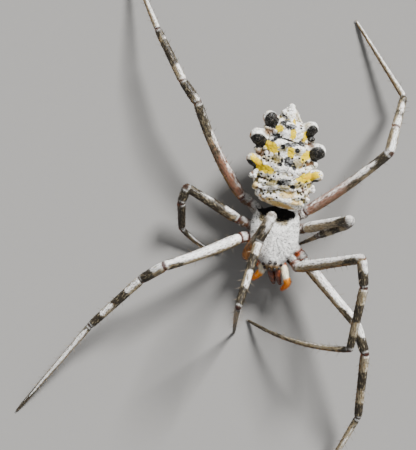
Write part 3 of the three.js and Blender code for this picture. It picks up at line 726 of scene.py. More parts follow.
# How ruddy and how frosted with silver the femur is, how golden its base, how tawny the shin, how mottled
# the leg, how strong the seams of the trochanter are, how dark the hip is off its lit faces and how orange
# the knee's skin.
tintNames = ("ruddy", "frost", "golden", "tawny", "mottle", "seams", "hip", "kneeSkin")
tintRows = {
    "right_1": (0.0, 0.0, 1.0, 0.0, 0.35, 0.4, 0.2, 0.0),
    "right_2": (0.0, 0.25, 0.2, 0.0, 0.3, 0.8, 0.1, 1.0),
    "right_3": (0.1, 0.1, 0.2, 0.0, 1.2, 0.5, 0.8, 0.3),
    "right_4": (1.0, 0.0, 0.2, 0.0, 0.6, 0.5, 0.35, 0.3),
    "left_1": (0.0, 0.35, 0.2, 0.3, 0.4, 0.8, 0.3, 0.1),
    "left_2": (0.1, 0.4, 0.2, 0.3, 0.4, 1.0, 0.3, 1.0),
    "left_3": (0.1, 0.2, 0.2, 0.1, 0.8, 0.5, 0.5, 0.0),
    "left_4": (0.95, 0.15, 0.2, 0.0, 0.3, 0.4, 0.0, 0.1),
    "palp": (0, 0, 0, 0, 0, 0, 0, 1),
}
legTints = {name: dict(zip(tintNames, row)) for name, row in tintRows.items()}
# Dark bands, as places counted in leg lengths with how dark the coat is there: 1 to 2 is the femur, 2 to 3
# the patella, 3 to 4 the tibia, 4 to 5 the metatarsus and 5 to 6 the tarsus.
shinBands = (
    (3.04, 0.14), (3.24, 0.08), (3.3, 0.84), (3.5, 0.88), (3.56, 0.12), (3.74, 0.1), (3.8, 0.84),
    (4.0, 0.95),
)
footBands = ((4.08, 0.3), (4.3, 0.05), (4.55, 0.3), (4.8, 0.5), (5.2, 0.7), (6.0, 0.8))
thighBands = ((0.9, 0.0), (1.45, 0.04), (1.72, 0.2), (1.82, 0.45), (1.94, 0.55), (2.0, 0.12))
legBands = {
    "plain": (*thighBands, (2.35, 0.16), (2.5, 0.55), (2.9, 0.84), (3.0, 0.5), *shinBands, *footBands),
    "right_1": (
        (0.9, 0.1), (1.9, 0.3), (2.0, 0.0), (2.3, 0.1), (2.45, 0.45), (2.65, 0.5), (2.72, 0.9),
        (2.97, 0.9), (3.02, 0.1), (3.18, 0.1), (3.23, 0.84), (3.4, 0.88), (3.46, 0.12), (3.68, 0.1),
        (3.74, 0.84), (3.96, 0.9), *footBands,
    ),
    "right_3": (
        (0.9, 0.4), (1.2, 0.2), (1.45, 0.5), (1.62, 0.1), (1.9, 0.6), (2.1, 0.3), (2.3, 0.8), (2.95, 0.85),
        (3.05, 0.3), (3.3, 0.7), (3.95, 0.85), (4.1, 0.5), *footBands[1:],
    ),
    "right_4": (
        (0.9, 0.0), (1.4, 0.0), (1.5, 0.35), (1.62, 0.1), (1.75, 0.45), (1.98, 0.4), (2.05, 0.3),
        (2.6, 0.55), (2.95, 0.5), (3.02, 0.0), (3.25, 0.05), (3.33, 0.6), (3.7, 0.65), (3.8, 0.2),
        (3.9, 0.7), (4.0, 0.8), (4.05, 0.0), *footBands[2:],
    ),
    "left_4": (
        (0.9, 0.0), (1.35, 0.1), (1.5, 0.4), (1.58, 0.5), (1.68, 0.25), (1.8, 0.5), (1.95, 0.85),
        (2.05, 0.3), (2.2, 0.1), (2.5, 0.3), (2.8, 0.2), (2.9, 0.45), (3.02, 0.1), (3.2, 0.1), (3.3, 0.45),
        (3.42, 0.45), (3.5, 0.1), (3.62, 0.1), (3.75, 0.5), (4.0, 0.7), (4.05, 0.0), (4.25, 0.0),
        (4.35, 0.3), (6.0, 0.5),
    ),
}

# Radii along each length, as (share of the length, radius).
legForm = {
    "femur": (
        (0, 0.56), (0.03, 0.7), (0.12, 0.77), (0.3, 0.76), (0.6, 0.67), (0.88, 0.64), (0.96, 0.66),
        (1, 0.6),
    ),
    "patella": ((0, 0.56), (0.12, 0.66), (0.45, 0.67), (0.85, 0.62), (1, 0.52)),
    "tibia": ((0, 0.5), (0.05, 0.6), (0.2, 0.58), (0.5, 0.55), (0.8, 0.53), (0.95, 0.5), (1, 0.42)),
    "metatarsus": ((0, 0.36), (0.05, 0.42), (0.25, 0.38), (0.6, 0.31), (1, 0.25)),
    "tarsus": ((0, 0.22), (0.12, 0.25), (0.6, 0.23), (1, 0.19)),
    "ankleAt": 0.78, "trim": 0.15, "neck": 0.84, "least": 0.19,
    "toeHeight": 0.12, "voxel": 0.085, "step": 0.35, "sole": 0.005,
}
# Each coat: tufts to a square millimetre, their length, width, lift in degrees and stray, and its seed.
legCoat = {
    "perSquare": 62, "length": (0.22, 0.42), "width": 0.05, "lift": (4, 20), "stray": 0.16, "seed": 11,
}
# Spines stand in rows at these turns round each length; none goes above or below the part's own height.
spineForm = {
    "spacing": 1.25, "length": 0.85, "radius": 0.036, "tip": 0.006, "lean": 0.6, "sunk": 0.06,
    "lowest": 0.1, "highest": 17.3, "thirdLegs": 0.75,
    "turns": {
        "femur": (-70, 70, 150), "patella": (40,), "tibia": (-75, 75, 150, -150),
        "metatarsus": (-75, 75, 140, -140),
    },
}
# A claw, from its root: forward, outward, up and radius.
clawForm = (
    (0, 0, 0, 0.045), (0.14, 0.03, 0.02, 0.04), (0.22, 0.04, -0.08, 0.028), (0.24, 0.04, -0.17, 0.012),
)


def legJoints(pose):
    joints = [Vector(pose["hip"])]
    heights = (*pose["height"], legForm["toeHeight"])
    for length, turn, height in zip(legLengths[pose["pair"]], pose["turn"], heights):
        drop = height - joints[-1].z
        run = math.sqrt(length ** 2 - drop ** 2)
        angle = math.radians(turn)
        joints.append(joints[-1] + Vector((run * math.cos(angle), run * math.sin(angle), drop)))
    return [joint + shift for joint in joints]


def arc(start, control, end, share):
    return start * (1 - share) ** 2 + control * (2 * share * (1 - share)) + end * share ** 2


def bent(start, end, bow, sag, share):
    run = end - start
    left = Vector((-run.y, run.x, 0)).normalized()
    middle = start.lerp(end, 0.5) + left * bow - Vector((0, 0, sag))
    return arc(start, middle * 2 - (start + end) / 2, end, share)


# The lengths of a leg from the hip, each as its name and its curve.
def legCurves(pose):
    hip, knee, patellaEnd, ankle, tip = legJoints(pose)
    at = legForm["ankleAt"]
    bow, sag = pose["bow"], pose["sag"]
    return [
        ("femur", lambda s: bent(hip, knee, bow[0], sag[0], s)),
        ("patella", lambda s: knee.lerp(patellaEnd, s)),
        ("tibia", lambda s: bent(patellaEnd, ankle, bow[1], sag[1], s)),
        ("metatarsus", lambda s: bent(ankle, tip, bow[2], sag[2], s * at)),
        ("tarsus", lambda s: bent(ankle, tip, bow[2], sag[2], at + s * (1 - at))),
    ]


# Stations down the leg: centre, heading, upper side, place count, millimetres from the hip and millimetres
# to the nearest joint. A first femur raised back over the body shows its lower side above.
def legStations(pose, step=0.12):
    rows = []
    travelled = 0.0
    turned = math.cos(math.radians(pose["turn"][0] - pose["turn"][1])) < -0.9
    for number, (key, curve) in enumerate(legCurves(pose), 1):
        chord = curve(1) - curve(0)
        count = max(4, int(chord.length / step))
        side = chord.cross(upright).normalized()
        for i in range(count):
            share = i / (count - 1)
            heading = (curve(min(1, share + 0.02)) - curve(max(0, share - 0.02))).normalized()
            upper = side.cross(heading).normalized()
            if turned and key == "femur":
                upper = -(upper * 0.45 + side * 0.9).normalized()
            toJoint = min(share, 1 - share) * chord.length
            reach = travelled + share * chord.length
            rows.append((*curve(share), *heading, *upper, number + share, reach, toJoint))
        travelled += chord.length
    return np.array(rows)


def nearest(points, line):
    found = np.empty(len(points), int)
    batch = 4000  # points at a time, which keeps the memory small
    for start in range(0, len(points), batch):
        part = points[start:start + batch]
        found[start:start + batch] = ((part[:, None, :] - line[None, :, :]) ** 2).sum(axis=2).argmin(axis=1)
    return found


# Painted light and shade: the legs' silver coat is laid on the flank towards this side and their
# golden-brown skin on the flank away from it, partly their own colours and partly painted light. The hips
# and the knob rims are shaded by it too.
lightSide = np.array((0.6, 0.8, 0.0))  # the flank of the legs where the silver coat reaches lowest


def mapAlong(mesh, rows, tints, bands):
    points = places(mesh)
    rows = rows[nearest(points, rows[:, :3])]
    centre, heading, upper = rows[:, :3], rows[:, 3:6], rows[:, 6:9]
    place, reach, toJoint = rows[:, 9], rows[:, 10], rows[:, 11]
    out = points - centre
    out = unit(out - heading * (out * heading).sum(axis=1, keepdims=True), 1e-6)
    flank = lightSide - heading * (heading @ lightSide)[:, None]
    # how far each point faces up and towards the light's side, where the coat is silver: partly its own
    # colour and partly painted light
    silver = (out * unit(upper * 0.6 + flank * 0.8, 1e-6)).sum(axis=1)
    if not tints["kneeSkin"]:
        silver = np.maximum(silver, 0.8 * smoothStep(toJoint, 1.2, 0.6) * (np.abs(place - 2) < 0.4))
    across = (out * upper).sum(axis=1)
    sideways = (out * np.cross(heading, upper)).sum(axis=1)
    thigh = tints["frost"] * smoothStep(place, 2.7, 2.1)
    shin = tints["tawny"] * smoothStep(place, 2.7, 3.0)
    # dark seams with orange skin low in the joints, on the flank away from the light, and pale collars
    # beside them
    fade = smoothStep(place, 4.6, 4.1)
    bare = np.where(np.abs(place - 2) < 0.5, tints["kneeSkin"], 1.0)
    paint(mesh, {
        "place": place,
        "band": np.interp(place, *zip(*bands)),
        "legMap": np.stack([reach, across, sideways], axis=1),
        "lie": heading,
        "silverAndLitSide": silver,
        "golden": tints["golden"] * smoothStep(place, 1.7, 1.2),
        "frost": thigh + 0.1 * smoothStep(place, 4.0, 4.1) - shin,
        "lowSkin": 0.3 * smoothStep(place, 4.02, 4.12) + 0.12 * smoothStep(place, 1.5, 1.1),
        "ruddy": tints["ruddy"] * smoothStep(place, 1.75, 1.35),
        "mottle": tints["mottle"] * np.where(place < 1.3, 0.6, 1.0) * smoothStep(place, 4.9, 4.2),
        "seam": hump(toJoint, 0.08) * fade * (0.3 + 0.6 * bare),
        "membrane": hump(toJoint, 0.17) * smoothStep(silver, 0.1, -0.5) * fade * bare,
        "collar": hump(toJoint - 0.27, 0.1) * fade * 0.5,
    })


def buildLeg(name, pose, number):
    stout = legStoutness[pose["pair"]]
    form = bmesh.new()
    curves = legCurves(pose)
    for key, curve in curves:
        length = (curve(1) - curve(0)).length
        # each length stops a little short of its joints, where the soft skin shows
        trim = min(0.12, legForm["trim"] / length)
        shares = sorted({*np.linspace(trim, 1 - trim, max(6, int(length / legForm["step"]))),
                         *(min(max(at, trim), 1 - trim) for at, radius in legForm[key])})
        radii = [max(radiusAt(legForm[key], share) * stout, legForm["least"]) for share in shares]
        addTube(form, [curve(share) for share in shares], radii)
    for before, after in zip(curves, curves[1:]):
        narrow = min(radiusAt(legForm[before[0]], 1), radiusAt(legForm[after[0]], 0))
        addBall(form, after[1](0), narrow * stout * legForm["neck"])
    addBall(form, curves[0][1](0), legForm["femur"][0][1] * stout)
    skin = fuse(f"leg_{name}_skin", form, legForm["voxel"], 3)
    mapAlong(skin.data, legStations(pose), legTints[name], legBands.get(name, legBands["plain"]))
    points = places(skin.data)
    points[:, 2] = np.maximum(points[:, 2], legForm["sole"])
    movePoints(skin.data, points)
    unwrap(skin)
    placed = painted(skin.data, "place")
    cover = smoothStep(placed, 0.98, 1.1) * (1 - 0.5 * smoothStep(placed, 5.0, 5.8))
    cover[points[:, 2] < 0.35] = 0
    ownCoat = {**legCoat, "seed": legCoat["seed"] + number}
    coat = plantTufts(f"leg_{name}_coat", skin, "legHair", ownCoat, cover)
    spines = plantSpines(f"leg_{name}_spines", pose, number)
    nodes = [f"leg_{name}_{part}" for part in ("femur", "tibia", "metatarsus")]
    finish(skin, nodes, "legSkin")
    finish(coat)
    finish(spines, look="spine")


# Rows of stiff spines on the femur, patella, tibia and metatarsus, and two claws at the toe.
def plantSpines(name, pose, number):
    random = np.random.default_rng(70 + number)
    stout = legStoutness[pose["pair"]]
    form = bmesh.new()
    rows = legStations(pose, 0.05)
    for first, (part, angles) in enumerate(spineForm["turns"].items(), 1):
        inside = rows[(rows[:, 9] > first + 0.08) & (rows[:, 9] < first + 0.94)]
        length = inside[-1, 10] - inside[0, 10]
        for angle in angles:
            count = max(1, int(length / spineForm["spacing"]))
            for i in range(count):
                share = (i + 0.5 + random.uniform(-0.15, 0.15)) / count
                row = inside[min(int(share * len(inside)), len(inside) - 1)]
                centre, heading, upper = Vector(row[:3]), Vector(row[3:6]), Vector(row[6:9])
                turned = Matrix.Rotation(math.radians(angle + random.uniform(-8, 8)), 3, heading) @ upper
                radius = radiusAt(legForm[part], row[9] - first) * stout
                root = centre + turned * (radius - spineForm["sunk"])
                way = (turned + heading * spineForm["lean"]).normalized()
                reach = spineForm["length"] * random.uniform(0.8, 1.15)
                reach *= spineForm["thirdLegs"] if pose["pair"] == 3 else 1
                if not spineForm["lowest"] <= (root + way * reach).z <= spineForm["highest"]:
                    continue
                placed = ringFrame(root + way * (reach / 2), way, Vector((0.1, 0.2, 1)))
                bmesh.ops.create_cone(form, cap_ends=True, segments=5, depth=reach, matrix=placed,
                                      radius1=spineForm["radius"], radius2=spineForm["tip"])
    toe, heading = Vector(rows[-1][:3]), Vector(rows[-1][3:6])
    flat = Vector((heading.x, heading.y, 0)).normalized()
    for way in (-1, 1):
        side = Vector((-flat.y, flat.x, 0)) * way
        start = toe + side * 0.06 + flat * 0.04 + upright * 0.12
        curve = [start + flat * ahead + side * outward + upright * rise
                 for ahead, outward, rise, radius in clawForm]
        addTube(form, curve, [row[3] for row in clawForm], sides=6)
    return objectOf(name, form)


for legNumber, (legName, legPose) in enumerate(legPoses.items()):
    buildLeg(legName, legPose, legNumber)
print("legs built")


shellCoat = {
    "perSquare": 190, "length": (0.22, 0.42), "width": 0.045, "lift": (5, 24), "stray": 0.28, "seed": 5,
}
rimCoat = {
    "perSquare": 90, "length": (0.4, 0.75), "width": 0.05, "lift": (8, 30), "stray": 0.25, "seed": 6,
}


def coxaCurve(pose):
    start, end = (Vector((x, y, frontForm["coxaHeight"])) for x, y in pose["coxa"])
    hip = Vector(pose["hip"])
    return lambda s: arc(start, end * 2 - (start + hip) / 2, hip, s) + shift


def buildFront():
    form = bmesh.new()
    for name in ("carapace", "sternum", "maxillae", "pedicel"):
        addCadNode(form, name)
    # soft skin between the plates below, at the mouth and round the waist
    addBall(form, onFront(-0.2, 0, 3.55) + shift, 1, (1.0, 2.1, 0.3))
    addBall(form, onFront(2.6, 0, 4.0) + shift, 0.5, (1.3, 1, 0.7))
    addBall(form, onFront(-4.45, 0.1, 4.75) + shift, 0.5, (3.4, 0.95, 0.95))
    coxae = []
    for name, pose in legPoses.items():
        curve = coxaCurve(pose)
        stout = legStoutness[pose["pair"]]
        shares = [i / 24 for i in range(25)]
        addProfile(form, [curve(s) for s in shares], frontForm["coxaRadii"], stout)
        coxae += [(*curve(s), s, stout, legTints[name]["seams"], legTints[name]["hip"]) for s in shares]
    skin = fuse("front_skin", form, frontForm["voxel"], 5)
    mesh = skin.data
    points, ups = places(mesh), normals(mesh)
    height, upness = points[:, 2], ups[:, 2]
    offset = points - np.array(onFront(0, 0, 0) + shift)
    forward, left = offset @ np.array(forwardWay), offset @ np.array(leftWay)
    # shallow furrows run out from the middle pit, and the head is set off by a curved groove
    pitForward, pitLeft, pitSize, pitDepth = frontForm["pit"]
    radius = np.hypot(forward - pitForward, left - pitLeft)
    bearing = np.arctan2(left - pitLeft, forward - pitForward)
    onTop = smoothStep(upness, 0.2, 0.7) * smoothStep(height, 5.2, 5.9)
    furrow = np.cos(bearing * 8 + 0.6) ** 6 * smoothStep(radius, 0.5, 1.2) * smoothStep(radius, 3.4, 2.4)
    headGroove = hump(np.abs(left) - 0.55 - 0.42 * (forward - pitForward), 0.22)
    headGroove *= smoothStep(forward, -0.6, 0.2) * smoothStep(forward, 2.9, 2.0)
    sunk = hump(radius, pitSize) * pitDepth + furrow * 0.05 + headGroove * 0.09
    raised = noiseAt(points, 3.0, 1) * 0.018 - frontForm["inset"] - sunk * onTop
    points = points + ups * raised[:, None]
    height = points[:, 2]
    movePoints(mesh, points)
    # painted shadow: the hollow at the rear, under the hind body's front, and the gap between the front edge
    # and the left first leg are painted black as shade
    hollowForward, hollowHeight, halfLength, halfWidth, halfHeight = frontForm["hollow"]
    away = np.sqrt(((forward - hollowForward) / halfLength) ** 2 + ((left - 0.1) / halfWidth) ** 2
                   + ((height - hollowHeight) / halfHeight) ** 2)
    flat = points - np.array(shift)
    mouth = ellipse(flat, *frontForm["mouth"])
    belowRim = np.maximum(smoothStep(mouth, 0.42, 0.5), smoothStep(height, 4.9, 4.4))
    hollow = np.maximum.reduce([
        smoothStep(away, 1.16, 1.0) * belowRim,
        smoothStep(mouth, 0.45, 0.53) * smoothStep(height, 4.6, 5.2),
        smoothStep(ellipse(flat, *frontForm["gap"]), 0.42, 0.55),
    ])
    # painted shade under the overhang of the hind body
    shadeUnderHind = smoothStep(-forward, 3.7, 4.3) * smoothStep(np.abs(left), 2.4, 1.6)
    # the coxae: how far down each, and how strong its seams and how dark its hip are, the hips painted
    # darker as shade where they face away from the light
    coxaLine = np.array(coxae)
    found = nearest(points, coxaLine[:, :3])
    shareDown, stout, seams, darkness = coxaLine[found, 3:].T
    reach = np.linalg.norm(points - coxaLine[found, :3], axis=1) / (0.95 * stout)
    onCoxa = smoothStep(reach, 1.12, 1.0) * smoothStep(height, 5.6, 5.3) * smoothStep(shareDown, 0.22, 0.34)
    toSeam = np.minimum(np.abs(shareDown - 0.58), np.abs(shareDown - 0.98))
    seamWidth = 0.016 + 0.022 * seams
    seamStrength = np.clip((seams + 0.3) * onCoxa, 0, 1)
    # painted shade: the coxae darken on faces turned from the light, and their orange skin is kept off the
    # faces towards it
    lit = ups @ (lightSide * 0.6 + np.array((0, 0, 0.8)))
    shadedHip = smoothStep(lit, 0.85, 0.25) + darkness * smoothStep(lit, 1.15, 0.8)
    orange = np.clip((seams - 0.4) * 1.7, 0, 1) * onCoxa * smoothStep(lit, 1.1, 0.7)
    beneath = smoothStep(upness, -0.25, -0.6) * smoothStep(height, 4.4, 3.7)
    onSternum = smoothStep(height, 3.2, 3.0) * smoothStep(-upness, 0.5, 0.8)
    alongSternum = smoothStep(forward, -2.2, -1.6) * smoothStep(forward, 2.1, 1.7)
    beige = np.max([ellipse(flat, *spot) for spot in frontForm["beige"]], axis=0)
    # the coat lies outwards from the pit and a little back, and along each coxa
    outward = unit(np.stack([forward - pitForward, left - pitLeft], axis=1), 0.3)
    lie = np.array(forwardWay) * (outward[:, 0:1] * 0.8 - 0.35) + np.array(leftWay) * outward[:, 1:2]
    coxaWay = unit(np.gradient(coxaLine[:, :3], axis=0)[found], 1e-6)
    paint(mesh, {
        "hollow": np.maximum(hollow, shadeUnderHind),
        "ridge": relief(skin, 30, 0.06),
        "coxa": onCoxa * np.clip(shadedHip, 0, 1),
        "seam": smoothStep(toSeam, seamWidth * 1.3, seamWidth * 0.6) * seamStrength,
        "membrane": smoothStep(toSeam, seamWidth * 3.0, seamWidth * 1.6) * orange,
        "under": beneath * (1 - onCoxa * 0.5),
        "stripe": smoothStep(np.abs(left), 0.42, 0.28) * onSternum * alongSternum,
        "tan": smoothStep(forward, 2.95, 3.5) * smoothStep(np.abs(left), 1.7, 1.1),
        "clypeus": smoothStep(forward, 3.7, 4.0) * smoothStep(height, 6.2, 5.6),
        "beige": smoothStep(beige, 0.4, 0.7) * onTop,
        "rays": np.stack([np.cos(bearing) * 5.0, np.sin(bearing) * 5.0, radius * 0.9], axis=1),
        "lie": np.where(onCoxa[:, None] > 0.5, coxaWay, lie),
    })
    unwrap(skin)
    cover = (1 - smoothStep(hollow, 0.2, 0.8)) * (1 - shadeUnderHind)
    cover *= 0.25 + 0.75 * smoothStep(upness, -0.4, 0.2)
    cover *= 1 - 0.75 * smoothStep(forward, 3.5, 4.0)
    coat = plantTufts("front_coat", skin, "shellHair", shellCoat, cover)
    rim = hump(mouth - 0.46, 0.04) * smoothStep(height, 5.2, 5.8) * (0.5 + beige)
    edge = plantTufts("front_fringe", skin, "shellHair", rimCoat, rim)
    nodes = ["carapace", "sternum", "maxillae", "pedicel"] + [f"leg_{name}_coxa" for name in legPoses]
    finish(skin, nodes, "shellSkin")
    finish(coat)
    finish(edge)


buildFront()
print("front body built")


hindForm = {
    "voxel": 0.085, "inset": 0.03, "x": 0.47, "y": 3.32, "turn": 7.6, "skew": 7, "roll": 4,
    "axis": ((1.2, 7.2), (4.0, 6.65), (8.0, 6.6), (11.0, 7.0), (13.95, 7.35)),
    "halfWidth": (
        (1.2, 3.35), (2.7, 3.8), (4.1, 4.0), (6.8, 3.78), (9.5, 3.15), (11.5, 2.25), (12.8, 1.4),
        (13.95, 0.55),
    ),
}
# Black faces of the knobs from above, as ellipses, their own black together with painted shade, and the fold
# lines across the back.
knobFaces = [
    (-0.44, 15.14, 1.06, 1.20), (-2.30, 12.34, 1.24, 1.04, -16), (-3.2, 9.2, 0.98, 0.46, -43),
    (4.96, 13.32, 0.86, 1.24, -8), (5.62, 10.56, 1.16, 1.08, 10), (5.40, 6.86, 0.55, 0.34, 8),
]
foldLines = [
    ((0.72, 15.95), (1.55, 15.54), (2.58, 15.23), (3.62, 15.23)),
    ((-0.62, 12.60), (-0.10, 13.01), (0.72, 12.96), (1.76, 12.60), (2.69, 12.36), (3.82, 12.29)),
    ((-1.44, 9.81), (-0.51, 10.07), (0.52, 9.45), (1.55, 9.34), (2.58, 8.83), (3.82, 8.83), (4.44, 9.03)),
    ((-2.06, 7.54), (-0.93, 7.18), (0.42, 6.61), (1.55, 6.50), (2.38, 6.09), (3.82, 5.99), (4.44, 6.45)),
    ((-1.55, 5.32), (0.31, 5.63), (1.76, 5.32), (3.31, 5.32)),
]
foldForm = {"depth": 0.30, "width": 0.42}
hindCoat = {
    "perSquare": 24, "length": (0.12, 0.24), "width": 0.03, "lift": (12, 40), "stray": 0.3, "seed": 9,
}
beadForm = {"spacing": 0.68, "radius": 0.42, "rise": 0.22, "count": 130, "seed": 21}

# Knobs from the front: place back, reach of the centre, rise and size.
knobs = [(5.65, 4.55, 1.3, 0.90), (8.85, 4.18, 1.15, 1.22), (11.65, 2.87, 1.0, 1.08)]
# Markings from above, as ellipses: x, y, half width, half height, turn.
hindMarks = {
    "yellow": [
        (0.55, 14.09, 0.40, 0.38), (2.38, 13.36, 0.30, 0.65), (4.00, 13.07, 0.25, 0.50),
        (-0.66, 11.70, 0.95, 0.46, -42), (1.99, 10.68, 0.38, 0.68), (4.26, 10.41, 0.78, 0.38, 38),
        (-2.45, 9.50, 1.05, 0.44, -52), (-1.25, 8.60, 0.90, 0.38, -22), (4.45, 7.52, 1.30, 0.46, 17),
        (2.65, 15.08, 0.13, 0.40),
    ],
    "amber": [
        (-2.50, 9.42, 0.55, 0.20, -52), (4.35, 7.46, 0.60, 0.20, 17), (-0.95, 11.85, 0.30, 0.15, -42),
    ],
    "blot": [
        (1.71, 9.56, 0.50, 0.56), (1.17, 6.81, 0.75, 0.42), (1.96, 11.86, 0.75, 0.27),
        (2.03, 14.26, 0.62, 0.32), (1.04, 14.76, 0.34, 0.25, -30), (1.30, 15.81, 0.42, 0.17, -35),
        (1.36, 15.09, 0.22, 0.20), (1.79, 15.19, 0.28, 0.17), (0.0, 13.15, 0.55, 0.30, -10),
        (-0.35, 12.60, 0.38, 0.22, 20), (3.60, 12.05, 0.40, 0.28), (0.15, 15.5, 0.3, 0.3),
    ],
    "groove": [
        (0.42, 13.02, 0.55, 0.17, -2), (1.15, 12.80, 0.50, 0.12, -16), (1.95, 12.52, 0.55, 0.15, -20),
        (2.70, 12.28, 0.50, 0.12, -12), (3.35, 12.20, 0.35, 0.14, 6),
    ],
    "olive": [
        (0.01, 10.02, 0.95, 0.66), (2.83, 9.35, 0.95, 0.70), (3.24, 6.46, 1.00, 0.62),
        (-0.52, 6.73, 1.10, 0.52), (1.49, 6.19, 1.25, 0.50), (0.95, 11.35, 0.60, 0.50),
        (2.95, 10.95, 0.55, 0.45), (3.60, 9.50, 0.90, 0.42),
    ],
    "cream": [
        (1.63, 5.05, 1.25, 0.42), (0.69, 3.78, 1.95, 0.32, -17), (-2.80, 6.39, 0.38, 0.60),
        (-0.79, 4.58, 0.60, 0.30), (2.70, 4.05, 0.75, 0.30),
    ],
    "rust": [(-0.75, 13.7, 0.9, 0.6), (-2.1, 10.95, 0.9, 0.55), (4.85, 11.9, 0.5, 0.5)],
    # the large muscle dots
    "dots": [
        (0.50, 9.25, 0.38, 0.34), (2.51, 8.76, 0.31, 0.38), (0.42, 6.52, 0.42, 0.31),
        (2.32, 6.06, 0.35, 0.35), (0.91, 11.54, 0.30, 0.37), (2.90, 11.03, 0.32, 0.32),
        (0.38, 10.68, 0.15, 0.34), (0.81, 9.82, 0.17, 0.28), (0.42, 13.05, 0.32, 0.15),
        (3.76, 12.22, 0.19, 0.15), (3.59, 15.13, 0.14, 0.17), (3.51, 14.11, 0.14, 0.18),
    ],
}
# Rows of small pits in the folds: start, end and how many.
pitRows = [
    ((-1.5, 10.6), (-0.52, 10.09), 3), ((-2.4, 7.6), (-0.95, 7.0), 5), ((-0.6, 12.53), (-0.01, 12.87), 3),
    ((3.8, 11.79), (3.45, 12.4), 2), ((4.23, 6.86), (3.16, 6.7), 2), ((2.22, 9.99), (2.47, 9.31), 2),
    ((3.84, 5.98), (3.51, 5.12), 2), ((-1.54, 5.76), (0.12, 4.74), 3), ((-1.49, 6.74), (-0.35, 7.64), 2),
    ((3.93, 9.05), (4.09, 9.5), 2), ((-1.64, 10.08), (-0.18, 9.47), 4), ((3.17, 10.02), (4.2, 9.65), 3),
    ((-1.9, 8.0), (-1.1, 7.62), 2), ((-1.75, 5.2), (-0.87, 4.5), 2), ((3.0, 5.61), (3.85, 5.5), 2),
    ((3.1, 4.7), (3.68, 4.4), 2), ((-0.7, 7.24), (0.25, 7.84), 2), ((3.42, 6.38), (4.2, 6.21), 2),
]
# The brown lip along the front edge.
lipLine = ((-2.16, 5.18), (-1.55, 4.32), (-0.7, 3.77), (0.76, 3.72), (1.62, 3.5), (2.48, 3.09))
pitRadius = 0.14
# A small lobe and the notch beside it, left of the tail cone: x, y, rise and width.
tailLobes = ((1.12, 16.38, 0.24, 0.26458), (1.66, 16.62, -0.20, 0.2))
hindTurn, hindRoll = math.radians(hindForm["turn"]), math.radians(hindForm["roll"])
hindSkew = math.tan(math.radians(hindForm["skew"]))
backWay = Vector((math.sin(hindTurn), math.cos(hindTurn), 0))
levelWay = Vector((math.cos(hindTurn), -math.sin(hindTurn), 0))
hindLeft = Matrix.Rotation(hindRoll, 3, backWay) @ levelWay
hindUp = Matrix.Rotation(hindRoll, 3, backWay) @ Vector((0, 0, 1))


def onHind(back, left, above):
    spot = Vector((hindForm["x"], hindForm["y"], radiusAt(hindForm["axis"], back)))
    return spot + backWay * (back - hindSkew * left) + hindLeft * left + hindUp * above + shift


def lineDistance(points, line):
    best = np.full(len(points), 1e9)
    for start, end in zip(line, line[1:]):
        start, run = np.array(start), np.array(end) - np.array(start)
        share = np.clip(((points[:, :2] - start) @ run) / (run @ run), 0, 1)
        best = np.minimum(best, np.linalg.norm(points[:, :2] - start - share[:, None] * run, axis=1))
    return best


# Round beads of skin along the flanks, spaced by throwing darts.
def findBeads(points, wanted):
    random = np.random.default_rng(beadForm["seed"])
    chosen = []
    for index in random.permutation(np.nonzero(wanted)[0]):
        spot = points[index]
        if all(((spot - other) ** 2).sum() > beadForm["spacing"] ** 2 for other in chosen):
            chosen.append(spot)
        if len(chosen) == beadForm["count"]:
            break
    return np.array(chosen)


